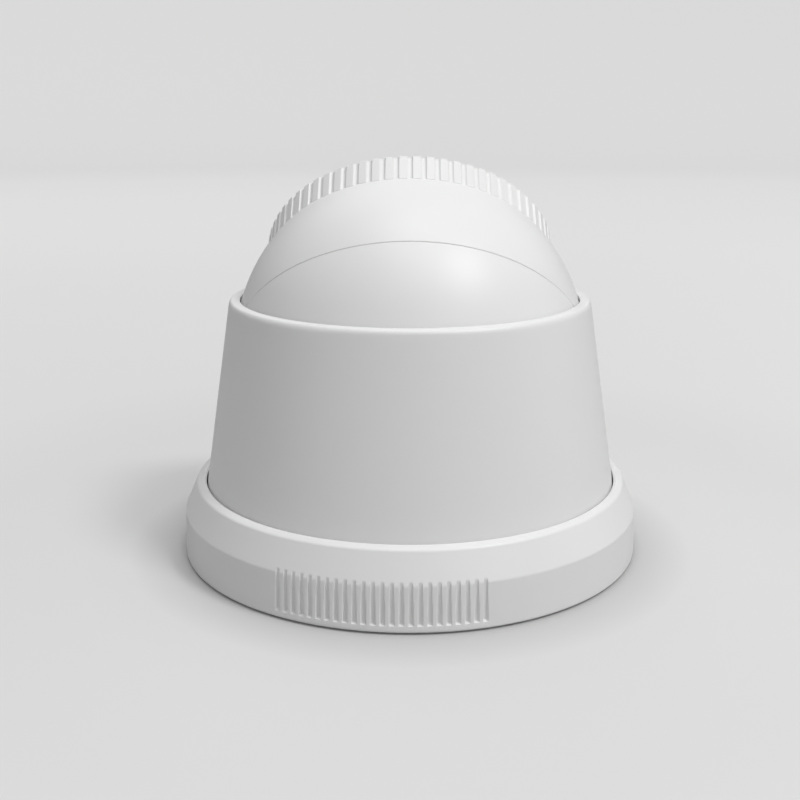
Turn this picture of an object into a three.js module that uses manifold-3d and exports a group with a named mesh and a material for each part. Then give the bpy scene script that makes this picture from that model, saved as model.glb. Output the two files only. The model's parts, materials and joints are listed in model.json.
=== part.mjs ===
// Ceiling-mount eyeball security camera: a screw-down plate, a twist-on grip ring, a tapered cup that
// pans, a ball that tilts in the cup and a lens face that turns in the ball.
// Millimetres, +Z up, origin on the mounting face at the pan axis; the lens looks towards -Y and up.
import * as THREE from "three";
import { mergeVertices } from "three/addons/utils/BufferGeometryUtils.js";
import Module from "manifold-3d";

const wasm = await Module();
wasm.setup();

// ---- driving dimensions ----
const BALL_R = 35.28;         // outer radius of the ball
const SHELL_T = 2.2;          // wall of both ball shells
const TILT_REST = 46.6;       // lens axis from the pan axis, degrees
const TILT_MAX = 75;
const SEAM_D = -1.64;         // seam plane along the lens axis, from the ball centre
const SEAM_GAP = 0.3;
const FIT = 0.3;              // gap left between pieces that touch
const RUN = 0.35;             // running clearance of the big round joints

const PLATE_T = 3.0;          // mounting plate
const BALL_FLOOR_GAP = 2.62;  // ball above the plate
const CABLE_HOLE_R = 11;
const SCREW_CIRCLE_R = 30;    // wall screws
const SCREW_SLOT_R = 2.3;
const SCREW_SLOT_LENGTH = 9;
const GLIDE_T = 0.8;          // plastic ring that the cup turns on
const GLIDE_W = 2.4;

const CUP_TAPER = 8.95;       // degrees
const CUP_WALL = 2.07;
const CUP_BALL_GAP = 0.45;    // at the ball's equator
const MOUTH_RISE = 10.65;     // cup's lip above the ball centre
const LIP_W = 2.3;
const LIP_ROUND = 1.0;
const FOOT_T = 2.0;
const FOOT_OUT = 1.15;        // foot flange past the cup's side
const NOTCH_GAP = 0.86;       // front cut-out past the lens ring

const RING_H = 15.15;         // grip ring
const RING_LIFT = 0.35;       // grip ring above the mounting face
const RIM_W = 1.9;
const RIM_DROP = 0.55;        // rim's outer crease below its top
const CHAMFER_IN = 2.55;
const CHAMFER_H = 5.65;
const DRAFT = 0.35;
const SKIRT_T = 2.0;
const GRIP_SECTORS = 3;
const GRIP_GROOVES = 24;
const GRIP_PITCH = 2.022;     // degrees
const GRIP_CENTRE = 83.1;     // degrees from +X
const GRIP_DEPTH = 0.7;
const GRIP_HALF_W = 0.5;
const GRIP_FLOOR = 1.35;      // solid band below the grooves
const LUGS = 3;
const LUG_HALF_DEG = 7;
const LUG_TWIST = 25;         // degrees from locked to released
const LUG_T = 1.0;
const LUG_IN = 1.5;

const FACE_R = 30.44;         // lens ring
const FACE_D0 = 17.85;        // lens ring's back edge along the lens axis
const FACE_T = 5.92;
const RIBS = 72;
const RIB_DEPTH = 0.45;
const BEZEL_W = 2.5;
const HUB_R = 25.9;
const HUB_T = 1.7;
const HUB_BOTTOM_D = 11.5;
const FLANGE_T = 2.2;
const WEB_T = 1.4;
const WINDOW_T = 1.8;
const GASKET_T = 0.4;
const CLIP_T = 1.0;
const CLIP_W = 2.9;
const CLIP_GROOVE = 0.7;

const DECK_GAP = 0.9;         // deck under the lens ring at full tilt
const DECK_T = 1.8;
const SEAT_W = 1.7;           // friction ring under the ball, at its top
const SEAT_LEDGE = 1.2;
const SADDLE_POSTS = [45, 135, 225, 315];
const SADDLE_POST_R = 3.2;
const SADDLE_POST_H = 9;
const SADDLE_POST_IN = 4.4;   // post axis in from the cup's inner wall
const CABLE_SLOT_W = 9.2;

const PIN_R = 2.0;            // tilt pivot
const PIN_IN = 4.8;
const PIN_OUT = 1.42;
const PIN_HEAD_R = 3.4;
const PIN_HEAD_T = 1.8;
const FLAT_IN = 1.28;         // side flats of the ball
const WASHER_T = 0.8;
const WASHER_R = 6.0;

const GROMMET_DEG = 34;       // cable exit from the ball's back pole, towards the front
const GROMMET_R = 4.2;
const GROMMET_BORE_R = 2.6;
const GROMMET_FLANGE_R = 6.2;

const SHELL_POST_GAP = 0.5;     // posts from the rear shell's wall
const SHELL_POST_R = 2.8;
const SHELL_POST_TOP_D = 11.0;
const SHELL_POST_SPLIT_D = -12;
const SHELL_POST_ANGLES = [30, 150, 270];
const SCREW_R = 1.2;
const SCREW_HEAD_R = 2.2;
const SCREW_HEAD_T = 1.5;

const BOARD_R = 24.5;         // main board
const BOARD_T = 1.5;
const BOARD_D = -7.6;
const BOARD_POSTS = [90, 200, 340];
const BOARD_POST_CIRCLE = 20;
const BOARD_POST_R = 2.4;

const LED_COUNT = 12;
const LED_CIRCLE = 16.6;
const LED_R = 2.4;
const LED_BOARD_D = 13.4;
const LED_BOARD_T = 1.5;
const LED_H = 5.0;
const MASK_D = 17.4;
const MASK_T = 0.8;
const FRAME_D = 11.8;
const FRAME_T = 1.3;
const FRAME_POST = 12.5;
const SENSOR_BOARD = 30;
const SENSOR_BOARD_D = 2.1;
const SENSOR_BOARD_T = 1.2;
const HOLDER = 20;
const HOLDER_H = 6.0;
const BARREL_R = 7.0;
const BARREL_TOP_D = 19.3;
const BAFFLE_R = 9.3;
const CARRIAGE = [14, 9, 1.2];
const CARRIAGE_TRAVEL = 6;

// ---- sizes that follow ----
const rad = (deg) => (deg * Math.PI) / 180;
const chord = (radius, height) => Math.sqrt(radius * radius - height * height);
const taper = Math.tan(rad(CUP_TAPER));
const ballZ = PLATE_T + BALL_FLOOR_GAP + BALL_R;
const cupEquatorR = BALL_R + CUP_BALL_GAP + CUP_WALL;
const cupR = (z) => cupEquatorR + (ballZ - z) * taper;
const cupTop = ballZ + MOUTH_RISE;
const mouthR = chord(BALL_R, MOUTH_RISE) + FIT;
const rimInR = cupR(RING_H) + RUN;
const rimOutR = rimInR + RIM_W;
const wallTopR = rimOutR + CHAMFER_IN;
const wallTopZ = RING_H - RIM_DROP - CHAMFER_H;
const baseR = wallTopR + DRAFT;
const skirtR = baseR - SKIRT_T;
const glideZ = PLATE_T + FIT;
const footZ = glideZ + GLIDE_T + FIT;
const footTop = footZ + FOOT_T;
const footR = cupR(footTop) + FOOT_OUT;
const plateR = skirtR - RUN;
const faceTop = FACE_D0 + FACE_T;
const ringD0 = FACE_D0 + FIT;
const ringReach = [[FACE_R, FACE_D0], [FACE_R, faceTop]];
const lowestAt = ([r, d]) => ballZ + Math.hypot(r, d) * Math.sin(rad(90 - TILT_MAX) - Math.atan2(r, d));
const deckTop = Math.min(...ringReach.map(lowestAt)) - DECK_GAP;
const notchR = FACE_R + NOTCH_GAP;
const shellInR = BALL_R - SHELL_T;
const seatR = chord(BALL_R + FIT, ballZ - deckTop) + SEAT_W;
const neckR = HUB_R + FIT;
const flatX = BALL_R - FLAT_IN;
const shellPostCircle = chord(shellInR, SHELL_POST_SPLIT_D) - SHELL_POST_R - SHELL_POST_GAP;

// ---- materials ----
const plastic = (color, roughness = 0.5) => new THREE.MeshStandardMaterial({ color, roughness });
const metal = (color, roughness = 0.35) =>
  new THREE.MeshStandardMaterial({ color, roughness, metalness: 0.9 });
const white = plastic(0xe9e9e8, 0.45);
const innerWhite = plastic(0xd9d9d6, 0.6);
const black = plastic(0x17181a, 0.55);
const rubber = plastic(0x2b2b2c, 0.85);
const silicone = plastic(0x9b9c9a, 0.8);
const glass = plastic(0x20242a, 0.05);
const board = plastic(0x1d5a36, 0.5);
const chip = plastic(0x222326, 0.4);
const ledLens = plastic(0x5c5560, 0.15);
const steel = metal(0xb8babd);
const filterGlass = plastic(0x7f9fb0, 0.1);

// ---- solids ----
function solid(geometry) {
  const bare = geometry.index ? geometry.toNonIndexed() : geometry.clone();
  bare.deleteAttribute("normal");
  bare.deleteAttribute("uv");
  const merged = mergeVertices(bare, 1e-4);
  const vertProperties = new Float32Array(merged.attributes.position.array);
  const make = (triVerts) => new wasm.Manifold(new wasm.Mesh({ numProp: 3, vertProperties, triVerts }));
  const made = make(new Uint32Array(merged.index.array));
  return made.volume() > 0 ? made : make(new Uint32Array(merged.index.array).reverse());
}

const turn = (shape, x = 0, y = 0, z = 0) =>
  shape.transform(
    new THREE.Matrix4().makeRotationFromEuler(new THREE.Euler(rad(x), rad(y), rad(z))).elements);
const move = (shape, x, y, z) => shape.translate([x, y, z]);
const polar = (r, deg) => [r * Math.cos(rad(deg)), r * Math.sin(rad(deg))];

// A closed profile of [radius, height] points turned about Z.
function turned(profile, segments = 40) {
  const points = profile.map(([r, z]) => new THREE.Vector2(r, z));
  points.push(points[0].clone());
  return solid(new THREE.LatheGeometry(points, segments).rotateX(Math.PI / 2));
}

const disc = (r, z0, z1, segments = 24) => turned([[0, z0], [r, z0], [r, z1], [0, z1]], segments);
const tube = (rIn, rOut, z0, z1, segments = 32) =>
  turned([[rIn, z0], [rOut, z0], [rOut, z1], [rIn, z1]], segments);
const rod = (r, x, y, z0, z1, segments = 10) => move(disc(r, z0, z1, segments), x, y, 0);

function block(w, d, z0, z1, x = 0, y = 0) {
  return solid(new THREE.BoxGeometry(w, d, z1 - z0).translate(x, y, (z0 + z1) / 2));
}

function prism(points, z0, z1) {
  const shape = new THREE.Shape(points.map(([x, y]) => new THREE.Vector2(x, y)));
  return solid(new THREE.ExtrudeGeometry(shape, { depth: z1 - z0, bevelEnabled: false }).translate(0, 0, z0));
}

// An arc of a ring between two angles in degrees.
function arc(rIn, rOut, z0, z1, from, to, steps = 6) {
  const along = Array.from({ length: steps + 1 }, (_, i) => from + ((to - from) * i) / steps);
  return prism([...along.map((a) => polar(rOut, a)), ...along.reverse().map((a) => polar(rIn, a))], z0, z1);
}

// Points of a circle of the given radius between two heights, rising.
function sphereArc(radius, from, to, steps) {
  return Array.from({ length: steps + 1 }, (_, i) => {
    const lat0 = Math.asin(Math.max(-1, from / radius)), lat1 = Math.asin(Math.min(1, to / radius));
    const lat = lat0 + ((lat1 - lat0) * i) / steps;
    return [Math.max(0, radius * Math.cos(lat)), radius * Math.sin(lat)];
  });
}

const join = (first, ...rest) => rest.reduce((sum, s) => sum.add(s), first);
const cut = (first, ...rest) => rest.reduce((left, s) => left.subtract(s), first);

const root = new THREE.Group();
const ballGroup = new THREE.Group();
ballGroup.position.set(0, 0, ballZ);
ballGroup.rotation.x = rad(TILT_REST);
root.add(ballGroup);

function add(group, name, shape, material) {
  const made = shape.getMesh();
  const position = new Float32Array(made.numVert * 3);
  for (let i = 0; i < made.numVert; i++)
    position.set(made.vertProperties.subarray(i * made.numProp, i * made.numProp + 3), i * 3);
  const geometry = new THREE.BufferGeometry()
    .setAttribute("position", new THREE.BufferAttribute(position, 3))
    .setIndex(new THREE.BufferAttribute(made.triVerts, 1));
  geometry.computeVertexNormals();
  const mesh = new THREE.Mesh(geometry, material);
  mesh.name = name;
  group.add(mesh);
}

// A screw with its head's underside at zero and its shank rising; a slot is cut in the head.
function screw(length) {
  const slot = block(2 * SCREW_HEAD_R - 1, 0.8, -SCREW_HEAD_T - 1, -SCREW_HEAD_T + 0.7);
  return cut(join(disc(SCREW_HEAD_R, -SCREW_HEAD_T, 0, 10), disc(SCREW_R, -0.2, length, 8)), slot);
}

// ---- base: mounting plate, glide ring and grip ring ----
function mountingPlate() {
  const lugR = skirtR - LUG_IN - RUN;
  const lugZ0 = RING_LIFT, lugZ1 = RING_LIFT + LUG_T + FIT;
  let plate = cut(disc(plateR, 0, PLATE_T, 48), disc(CABLE_HOLE_R, -1, PLATE_T + 1, 24));
  for (let i = 0; i < LUGS; i++) {
    const at = (i * 360) / LUGS + 90;
    plate = cut(plate,
      arc(lugR, plateR + 2, -1, lugZ1, at - LUG_HALF_DEG - 1, at + LUG_TWIST + LUG_HALF_DEG + 1, 4),
      arc(lugR, plateR + 2, lugZ0, PLATE_T + 1, at + LUG_TWIST - LUG_HALF_DEG - 1,
        at + LUG_TWIST + LUG_HALF_DEG + 1, 2));
  }
  for (let i = 0; i < 3; i++) {
    const [x, y] = polar(SCREW_CIRCLE_R, i * 120 + 30);
    const half = (SCREW_SLOT_LENGTH - 2 * SCREW_SLOT_R) / 2;
    const slot = join(block(2 * half, 2 * SCREW_SLOT_R, -1, PLATE_T + 1),
      rod(SCREW_SLOT_R, -half, 0, -1, PLATE_T + 1, 12), rod(SCREW_SLOT_R, half, 0, -1, PLATE_T + 1, 12));
    plate = cut(plate, move(turn(slot, 0, 0, i * 120 + 120), x, y, 0));
  }
  return plate;
}

function baseRing() {
  const ledgeZ = footTop + RUN;
  const ledgeR = cupR(ledgeZ) + RUN;
  let ring = turned([
    [skirtR, RING_LIFT], [baseR - 0.4, RING_LIFT], [baseR, RING_LIFT + 0.4], [wallTopR + 0.1, wallTopZ - 0.4],
    [wallTopR - 0.2, wallTopZ + 0.4], [rimOutR + 0.1, RING_H - RIM_DROP - 0.3],
    [rimOutR - 0.35, RING_H - RIM_DROP + 0.35], [rimOutR - 0.9, RING_H], [rimInR + 0.3, RING_H],
    [rimInR, RING_H - 0.25], [ledgeR, ledgeZ], [skirtR, ledgeZ],
  ], 48);
  const floor = RING_LIFT + GRIP_FLOOR;
  for (let s = 0; s < GRIP_SECTORS; s++)
    for (let g = 0; g < GRIP_GROOVES; g++) {
      const at = GRIP_CENTRE + (s * 360) / GRIP_SECTORS + (g - (GRIP_GROOVES - 1) / 2) * GRIP_PITCH;
      const groove = prism(
        [[baseR - GRIP_DEPTH, 0], [baseR + 0.6, -2 * GRIP_HALF_W], [baseR + 0.6, 2 * GRIP_HALF_W]],
        floor, RING_H);
      ring = cut(ring, turn(groove, 0, 0, at));
    }
  for (let i = 0; i < LUGS; i++) {
    const at = (i * 360) / LUGS + 90;
    ring = ring.add(arc(skirtR - LUG_IN, skirtR + 0.8, RING_LIFT, RING_LIFT + LUG_T,
      at - LUG_HALF_DEG, at + LUG_HALF_DEG, 3));
  }
  return ring;
}

// ---- cup: housing, saddle and friction ring ----
function postPlace(angle) {
  return polar(cupR(deckTop) - CUP_WALL - SADDLE_POST_IN, angle);
}

function cupHousing() {
  const inR = (z) => cupR(z) - CUP_WALL;
  const clearR = BALL_R + RUN;
  let cup = turned([
    [cupR(footZ) - CUP_WALL, footZ], [footR, footZ], [footR, footTop], [cupR(footTop), footTop],
    [cupR(cupTop - LIP_ROUND), cupTop - LIP_ROUND], [cupR(cupTop) - 0.3, cupTop - 0.35],
    [mouthR + LIP_W - 1.0, cupTop], [mouthR + 0.4, cupTop], [mouthR, cupTop - 0.4],
    [chord(clearR, 6), ballZ + 6], [inR(ballZ), ballZ],
  ], 48);
  const front = 60;
  const round = move(turn(disc(notchR, 2, front, 40), 90), 0, 0, deckTop + notchR);
  const above = move(block(2 * notchR, front - 2, 0, 2 * notchR), 0, -(front + 2) / 2, deckTop + notchR);
  cup = cut(cup, round, above);
  const pinPocket = join(turn(disc(PIN_R + RUN, -BALL_R - PIN_OUT - RUN, BALL_R + PIN_OUT + RUN, 16), 0, 90),
    block(2 * (BALL_R + PIN_OUT + RUN), 2 * (PIN_R + RUN), -9, 0));
  cup = cut(cup, move(pinPocket, 0, 0, ballZ));
  for (const angle of SADDLE_POSTS) {
    const [x, y] = postPlace(angle);
    const reach = SADDLE_POST_IN + 0.3;
    const rib = turn(block(reach, 2.0, deckTop, deckTop + SADDLE_POST_H,
      Math.hypot(x, y) + reach / 2, 0), 0, 0, angle);
    cup = join(cup, rod(SADDLE_POST_R, x, y, deckTop, deckTop + SADDLE_POST_H), rib);
    cup = cut(cup, rod(SCREW_R + FIT, x, y, deckTop - 1, deckTop + SADDLE_POST_H - 1.5, 10));
  }
  return cup;
}

function ballSaddle() {
  const z0 = deckTop - DECK_T, outR = cupR(deckTop) - CUP_WALL - FIT;
  const wallR = seatR + FIT;
  let saddle = turned([
    [wallR - SEAT_LEDGE, z0 - 1.2], [outR, z0 - 1.2], [outR + 0.2, deckTop], [wallR, deckTop],
    [wallR, z0], [wallR - SEAT_LEDGE, z0],
  ], 40);
  const pocket = tube(wallR + 1.6, outR - 1.6, z0 - 2, z0);
  saddle = cut(saddle, pocket, block(CABLE_SLOT_W, 80, z0 - 3, z0));
  for (const angle of SADDLE_POSTS) {
    const [x, y] = postPlace(angle);
    saddle = saddle.add(rod(SADDLE_POST_R, x, y, z0 - 1.2, z0 + 0.5));
    saddle = cut(saddle, rod(SCREW_R + FIT, x, y, z0 - 2, deckTop + 1, 10));
  }
  return saddle;
}

function frictionRing() {
  const z0 = deckTop - DECK_T + FIT, z1 = deckTop - 0.1;
  const seat = sphereArc(BALL_R + FIT, z0 - ballZ, z1 - ballZ, 2).map(([r, z]) => [r, z + ballZ]);
  return turned([[seatR, z1], [seatR, z0], ...seat].reverse(), 40);
}

add(root, "mounting_plate", mountingPlate(), innerWhite);
add(root, "glide_ring", tube(footR - GLIDE_W, footR, glideZ, glideZ + GLIDE_T), silicone);
add(root, "base_ring", baseRing(), white);
add(root, "cup_housing", cupHousing(), white);
add(root, "ball_saddle", ballSaddle(), innerWhite);
add(root, "friction_ring", frictionRing(), silicone);
SADDLE_POSTS.forEach((angle, i) => {
  const [x, y] = postPlace(angle);
  add(root, `saddle_screw_${i + 1}`, move(screw(8), x, y, deckTop - DECK_T - 1.2 - FIT), steel);
});

// ---- ball: shells, pivots and rear electronics, along the lens axis ----
function pinHole(extra) {
  return turn(disc(PIN_R + extra, -BALL_R - 5, BALL_R + 5, 16), 0, 90);
}

const sideCuts = () => join(block(20, 60, -30, 30, flatX + 10), block(20, 60, -30, 30, -flatX - 10));

function frontShell() {
  const outer = sphereArc(BALL_R, SEAM_D, FACE_D0, 4);
  const inner = sphereArc(shellInR, SEAM_D, FACE_D0 - FLANGE_T, 3).reverse();
  let shell = turned([...outer, [neckR, FACE_D0], [neckR, FACE_D0 - FLANGE_T], ...inner], 36);
  const tongueR = chord(shellInR, SEAM_D - 3) - FIT;
  shell = shell.add(tube(tongueR - 1.2, tongueR, SEAM_D - 2.6, SEAM_D + 1.2));
  shell = shell.add(tube(tongueR - 1.2, shellInR + 0.8, SEAM_D + 0.2, SEAM_D + 1.2));
  for (const angle of SHELL_POST_ANGLES) {
    const [x, y] = polar(shellPostCircle, angle);
    const reach = chord(shellInR, SHELL_POST_TOP_D) + SHELL_T / 3 - shellPostCircle;
    const rib = turn(
      block(reach, 2.0, SEAM_D + 1, SHELL_POST_TOP_D, shellPostCircle + reach / 2), 0, 0, angle);
    shell = join(shell, rod(SHELL_POST_R, x, y, SHELL_POST_SPLIT_D, SHELL_POST_TOP_D), rib);
    shell = cut(shell, rod(SCREW_R + FIT, x, y, SHELL_POST_SPLIT_D - 1, 0, 10));
  }
  const headRoom = turn(disc(PIN_HEAD_R + FIT, -shellInR + 0.05, shellInR - 0.05, 16), 0, 90);
  const midRoom = turn(disc(PIN_HEAD_R + FIT, -24, 24, 16), 0, 90);
  return cut(shell, cut(headRoom, midRoom), pinHole(FIT), sideCuts());
}

function rearShell() {
  const top = SEAM_D - SEAM_GAP;
  const outer = sphereArc(BALL_R, -BALL_R, top, 8);
  const inner = sphereArc(shellInR, -shellInR, top, 6).reverse();
  let shell = solid(new THREE.LatheGeometry(
    [...outer, ...inner].map(([r, z]) => new THREE.Vector2(r, z)), 36).rotateX(Math.PI / 2));
  const inside = turned([...sphereArc(BALL_R - 1.0, -BALL_R + 1.0, 0, 6), [0, 0]], 36);
  for (const angle of SHELL_POST_ANGLES) {
    const [x, y] = polar(shellPostCircle, angle);
    const boss = rod(SHELL_POST_R, x, y, -BALL_R, SHELL_POST_SPLIT_D - FIT);
    shell = shell.add(boss.intersect(inside));
    shell = cut(shell, rod(SCREW_R + FIT, x, y, -BALL_R, 0, 10),
      rod(SCREW_HEAD_R + FIT, x, y, -BALL_R, SHELL_POST_SPLIT_D - 4, 12));
  }
  for (const angle of BOARD_POSTS) {
    const [x, y] = polar(BOARD_POST_CIRCLE, angle);
    shell = shell.add(rod(BOARD_POST_R, x, y, -BALL_R, BOARD_D - FIT, 12).intersect(inside));
    shell = cut(shell, rod(SCREW_R + FIT, x, y, BOARD_D - 8, 0, 10));
  }
  const exit = turn(disc(GROMMET_R + FIT, -BALL_R - 2, -BALL_R / 2, 20), GROMMET_DEG * -1);
  return cut(shell, exit, pinHole(FIT), sideCuts());
}

function cableGrommet() {
  const outside = BALL_R - 0.4, inside = chord(shellInR, GROMMET_FLANGE_R) - 2 * FIT;
  const profile = [
    [GROMMET_BORE_R, -outside], [GROMMET_R, -outside], [GROMMET_R, -inside], [GROMMET_FLANGE_R, -inside],
    [GROMMET_FLANGE_R, -inside + 1.4], [GROMMET_BORE_R, -inside + 1.4],
  ];
  return turn(turned(profile, 20), -GROMMET_DEG);
}

function pivotPin(side) {
  const tip = BALL_R + PIN_OUT, back = BALL_R - PIN_IN;
  const pin = join(disc(PIN_R, back, tip, 16), disc(PIN_HEAD_R, back, back + PIN_HEAD_T, 16));
  return turn(pin, 0, side * 90);
}

function pivotWasher(side) {
  return turn(tube(PIN_R + FIT, WASHER_R, flatX + 0.1, flatX + 0.1 + WASHER_T, 20), 0, side * 90);
}

function mainBoard() {
  let made = disc(BOARD_R, BOARD_D, BOARD_D + BOARD_T);
  for (const angle of BOARD_POSTS) {
    const [x, y] = polar(BOARD_POST_CIRCLE, angle);
    made = cut(made, rod(SCREW_R + FIT, x, y, BOARD_D - 1, 0, 10));
  }
  return made;
}

add(ballGroup, "rear_shell", rearShell(), white);
add(ballGroup, "front_shell", frontShell(), white);
add(ballGroup, "cable_grommet", cableGrommet(), rubber);
for (const [word, side] of [["left", 1], ["right", -1]]) {
  add(ballGroup, `pivot_pin_${word}`, pivotPin(side), steel);
  add(ballGroup, `pivot_washer_${word}`, pivotWasher(side), rubber);
}
SHELL_POST_ANGLES.forEach((angle, i) => {
  const [x, y] = polar(shellPostCircle, angle);
  add(ballGroup, `shell_screw_${i + 1}`, move(screw(9), x, y, SHELL_POST_SPLIT_D - 4 - FIT), steel);
});
add(ballGroup, "main_board", mainBoard(), board);
add(ballGroup, "video_chip",
  block(11, 11, BOARD_D + BOARD_T + FIT, BOARD_D + BOARD_T + FIT + 1.4, 3, 3), chip);
add(ballGroup, "cable_socket", cut(block(11, 5.5, BOARD_D - FIT - 5, BOARD_D - FIT, 0, -12),
  block(9.4, 3.9, BOARD_D - FIT - 6, BOARD_D - FIT - 1.2, 0, -12)), innerWhite);
BOARD_POSTS.forEach((angle, i) => {
  const [x, y] = polar(BOARD_POST_CIRCLE, angle);
  add(ballGroup, `board_screw_${i + 1}`,
    move(turn(screw(6), 180), x, y, BOARD_D + BOARD_T + FIT), steel);
});

// ---- face: lens ring, window, lamps and camera module ----
function knurl() {
  const points = [];
  for (let i = 0; i < RIBS; i++) {
    const step = 360 / RIBS, at = i * step;
    points.push(
      polar(FACE_R, at + 0.18 * step), polar(FACE_R, at + 0.82 * step),
      polar(FACE_R - RIB_DEPTH, at + step));
  }
  return prism(points, ringD0, faceTop);
}

function frontRing() {
  const bezelIn = FACE_R - BEZEL_W;
  const web = ringD0 + WEB_T;
  const clipD = FACE_D0 - FLANGE_T - FIT - CLIP_T;
    const hub = turned([
    [HUB_R - HUB_T, HUB_BOTTOM_D], [HUB_R, HUB_BOTTOM_D],
    [HUB_R, clipD - 0.2], [HUB_R - CLIP_GROOVE, clipD - 0.2],
    [HUB_R - CLIP_GROOVE, clipD + CLIP_T + 0.2], [HUB_R, clipD + CLIP_T + 0.2], [HUB_R, ringD0 + 0.5],
    [HUB_R - HUB_T, ringD0 + 0.5],
  ], 40);
  const bevel = turned([
    [bezelIn - 0.1, faceTop - 0.7], [bezelIn + 0.8, faceTop + 0.2], [bezelIn - 0.1, faceTop + 0.2],
  ]);
  const rim = cut(knurl(),
    disc(HUB_R - HUB_T, ringD0 - 1, web + 1, 40), disc(bezelIn, web, faceTop + 1, 40));
  return cut(join(rim, hub), bevel);
}

const windowD = ringD0 + WEB_T + GASKET_T + 2 * FIT;
const windowR = FACE_R - BEZEL_W - FIT;

function faceMask() {
  let mask = tube(BAFFLE_R + FIT, HUB_R - HUB_T - FIT, MASK_D, MASK_D + MASK_T, 30);
  for (let i = 0; i < LED_COUNT; i++) {
    const [x, y] = polar(LED_CIRCLE, (i * 360) / LED_COUNT);
    mask = cut(mask, rod(LED_R + FIT, x, y, MASK_D - 1, MASK_D + MASK_T + 1, 10));
  }
  const [sx, sy] = polar(LED_CIRCLE + 4.6, 180 / LED_COUNT);
  return cut(mask, rod(1.5, sx, sy, MASK_D - 1, MASK_D + MASK_T + 1, 8));
}

function lamp(x, y) {
  const foot = LED_BOARD_D + LED_BOARD_T + FIT, top = foot + LED_H;
  return move(
    turned([[0, foot], [LED_R, foot], [LED_R, top - 1.7], [LED_R * 0.7, top - 0.5], [0, top]], 10),
    x, y, 0);
}

function moduleFrame() {
  let frame = tube(BAFFLE_R + 0.6, HUB_R - HUB_T - FIT, FRAME_D, FRAME_D + FRAME_T, 30);
  for (const x of [-FRAME_POST, FRAME_POST])
    for (const y of [-FRAME_POST, FRAME_POST]) {
      frame = frame.add(rod(2.0, x, y, SENSOR_BOARD_D + SENSOR_BOARD_T + FIT, FRAME_D + 0.5));
      frame = cut(frame, rod(SCREW_R + FIT, x, y, SENSOR_BOARD_D, SENSOR_BOARD_D + 6.5, 10));
    }
  return frame;
}

function sensorBoard() {
  let made = block(SENSOR_BOARD, SENSOR_BOARD, SENSOR_BOARD_D, SENSOR_BOARD_D + SENSOR_BOARD_T);
  for (const x of [-FRAME_POST, FRAME_POST])
    for (const y of [-FRAME_POST, FRAME_POST])
      made = cut(made, rod(SCREW_R + FIT, x, y, SENSOR_BOARD_D - 1, SENSOR_BOARD_D + 3, 10));
  return made;
}

const holderD = SENSOR_BOARD_D + SENSOR_BOARD_T + FIT;
const slotD = holderD + 1.1;
const slotH = CARRIAGE[2] + 2 * FIT;

function lensHolder() {
  const holder = block(HOLDER, HOLDER, holderD, holderD + HOLDER_H);
  return cut(holder,
    disc(BARREL_R + FIT, slotD + slotH + 0.4, holderD + HOLDER_H + 1),
    disc(BARREL_R - 1.6, slotD - 0.1, holderD + HOLDER_H + 1, 24),
    block(HOLDER + 2, CARRIAGE[1] + 2 * FIT, slotD, slotD + slotH),
    block(8.4, 8.4, holderD - 1, slotD + 0.1));
}

function lensBarrel() {
  const bottom = slotD + slotH + 0.4 + FIT;
  return turned([
    [3.2, bottom], [BARREL_R, bottom], [BARREL_R, BARREL_TOP_D - 1.2], [BARREL_R - 0.6, BARREL_TOP_D - 0.6],
    [BARREL_R - 0.6, BARREL_TOP_D], [4.9, BARREL_TOP_D],
    [4.4, BARREL_TOP_D - 1.4], [3.2, BARREL_TOP_D - 1.4],
  ], 24);
}

function frontElement() {
  const seat = BARREL_TOP_D - 1.4 + FIT;
  return turned([[0, seat], [4.0, seat], [4.0, seat + 0.2], [2.8, seat + 1.0],
    [0, seat + 1.5]], 16);
}

// Two panes side by side: one blocks infra-red, the other is clear for night.
function filterCarriage() {
  const [w, d, t] = CARRIAGE;
  const z0 = slotD + FIT, x0 = -CARRIAGE_TRAVEL / 2;
  return cut(block(w, d, z0, z0 + t, x0),
    block(5, 6, z0 - 1, z0 + t + 1), block(5, 6, z0 - 1, z0 + t + 1, -CARRIAGE_TRAVEL));
}

function filterPane(index) {
  const z0 = slotD + FIT + 0.3;
  return block(5 - 2 * FIT, 6 - 2 * FIT, z0, z0 + 0.6, -CARRIAGE_TRAVEL * index);
}

add(ballGroup, "front_ring", frontRing(), white);
add(ballGroup, "ring_clip", tube(HUB_R - CLIP_GROOVE + FIT, HUB_R - CLIP_GROOVE + FIT + CLIP_W,
  FACE_D0 - FLANGE_T - FIT - CLIP_T, FACE_D0 - FLANGE_T - FIT), steel);
add(ballGroup, "window_gasket",
  tube(windowR - 2, windowR, ringD0 + WEB_T + FIT, ringD0 + WEB_T + FIT + GASKET_T),
  rubber);
add(ballGroup, "front_window", disc(windowR, windowD, windowD + WINDOW_T, 40), glass);
add(ballGroup, "face_mask", faceMask(), black);
add(ballGroup, "led_board",
  tube(BAFFLE_R + FIT, HUB_R - HUB_T - FIT, LED_BOARD_D, LED_BOARD_D + LED_BOARD_T),
  board);
for (let i = 0; i < LED_COUNT; i++)
  add(ballGroup, `ir_led_${String(i + 1).padStart(2, "0")}`,
    lamp(...polar(LED_CIRCLE, (i * 360) / LED_COUNT)), ledLens);
{
  const [x, y] = polar(LED_CIRCLE + 4.6, 180 / LED_COUNT);
  add(ballGroup, "light_sensor",
    rod(1.2, x, y, LED_BOARD_D + LED_BOARD_T + FIT, MASK_D + MASK_T, 10), ledLens);
}
add(ballGroup, "lens_baffle",
  tube(BARREL_R + 2 * FIT, BAFFLE_R, LED_BOARD_D - 0.2, windowD - FIT, 24), rubber);
add(ballGroup, "module_frame", moduleFrame(), black);
add(ballGroup, "sensor_board", sensorBoard(), board);
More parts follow.
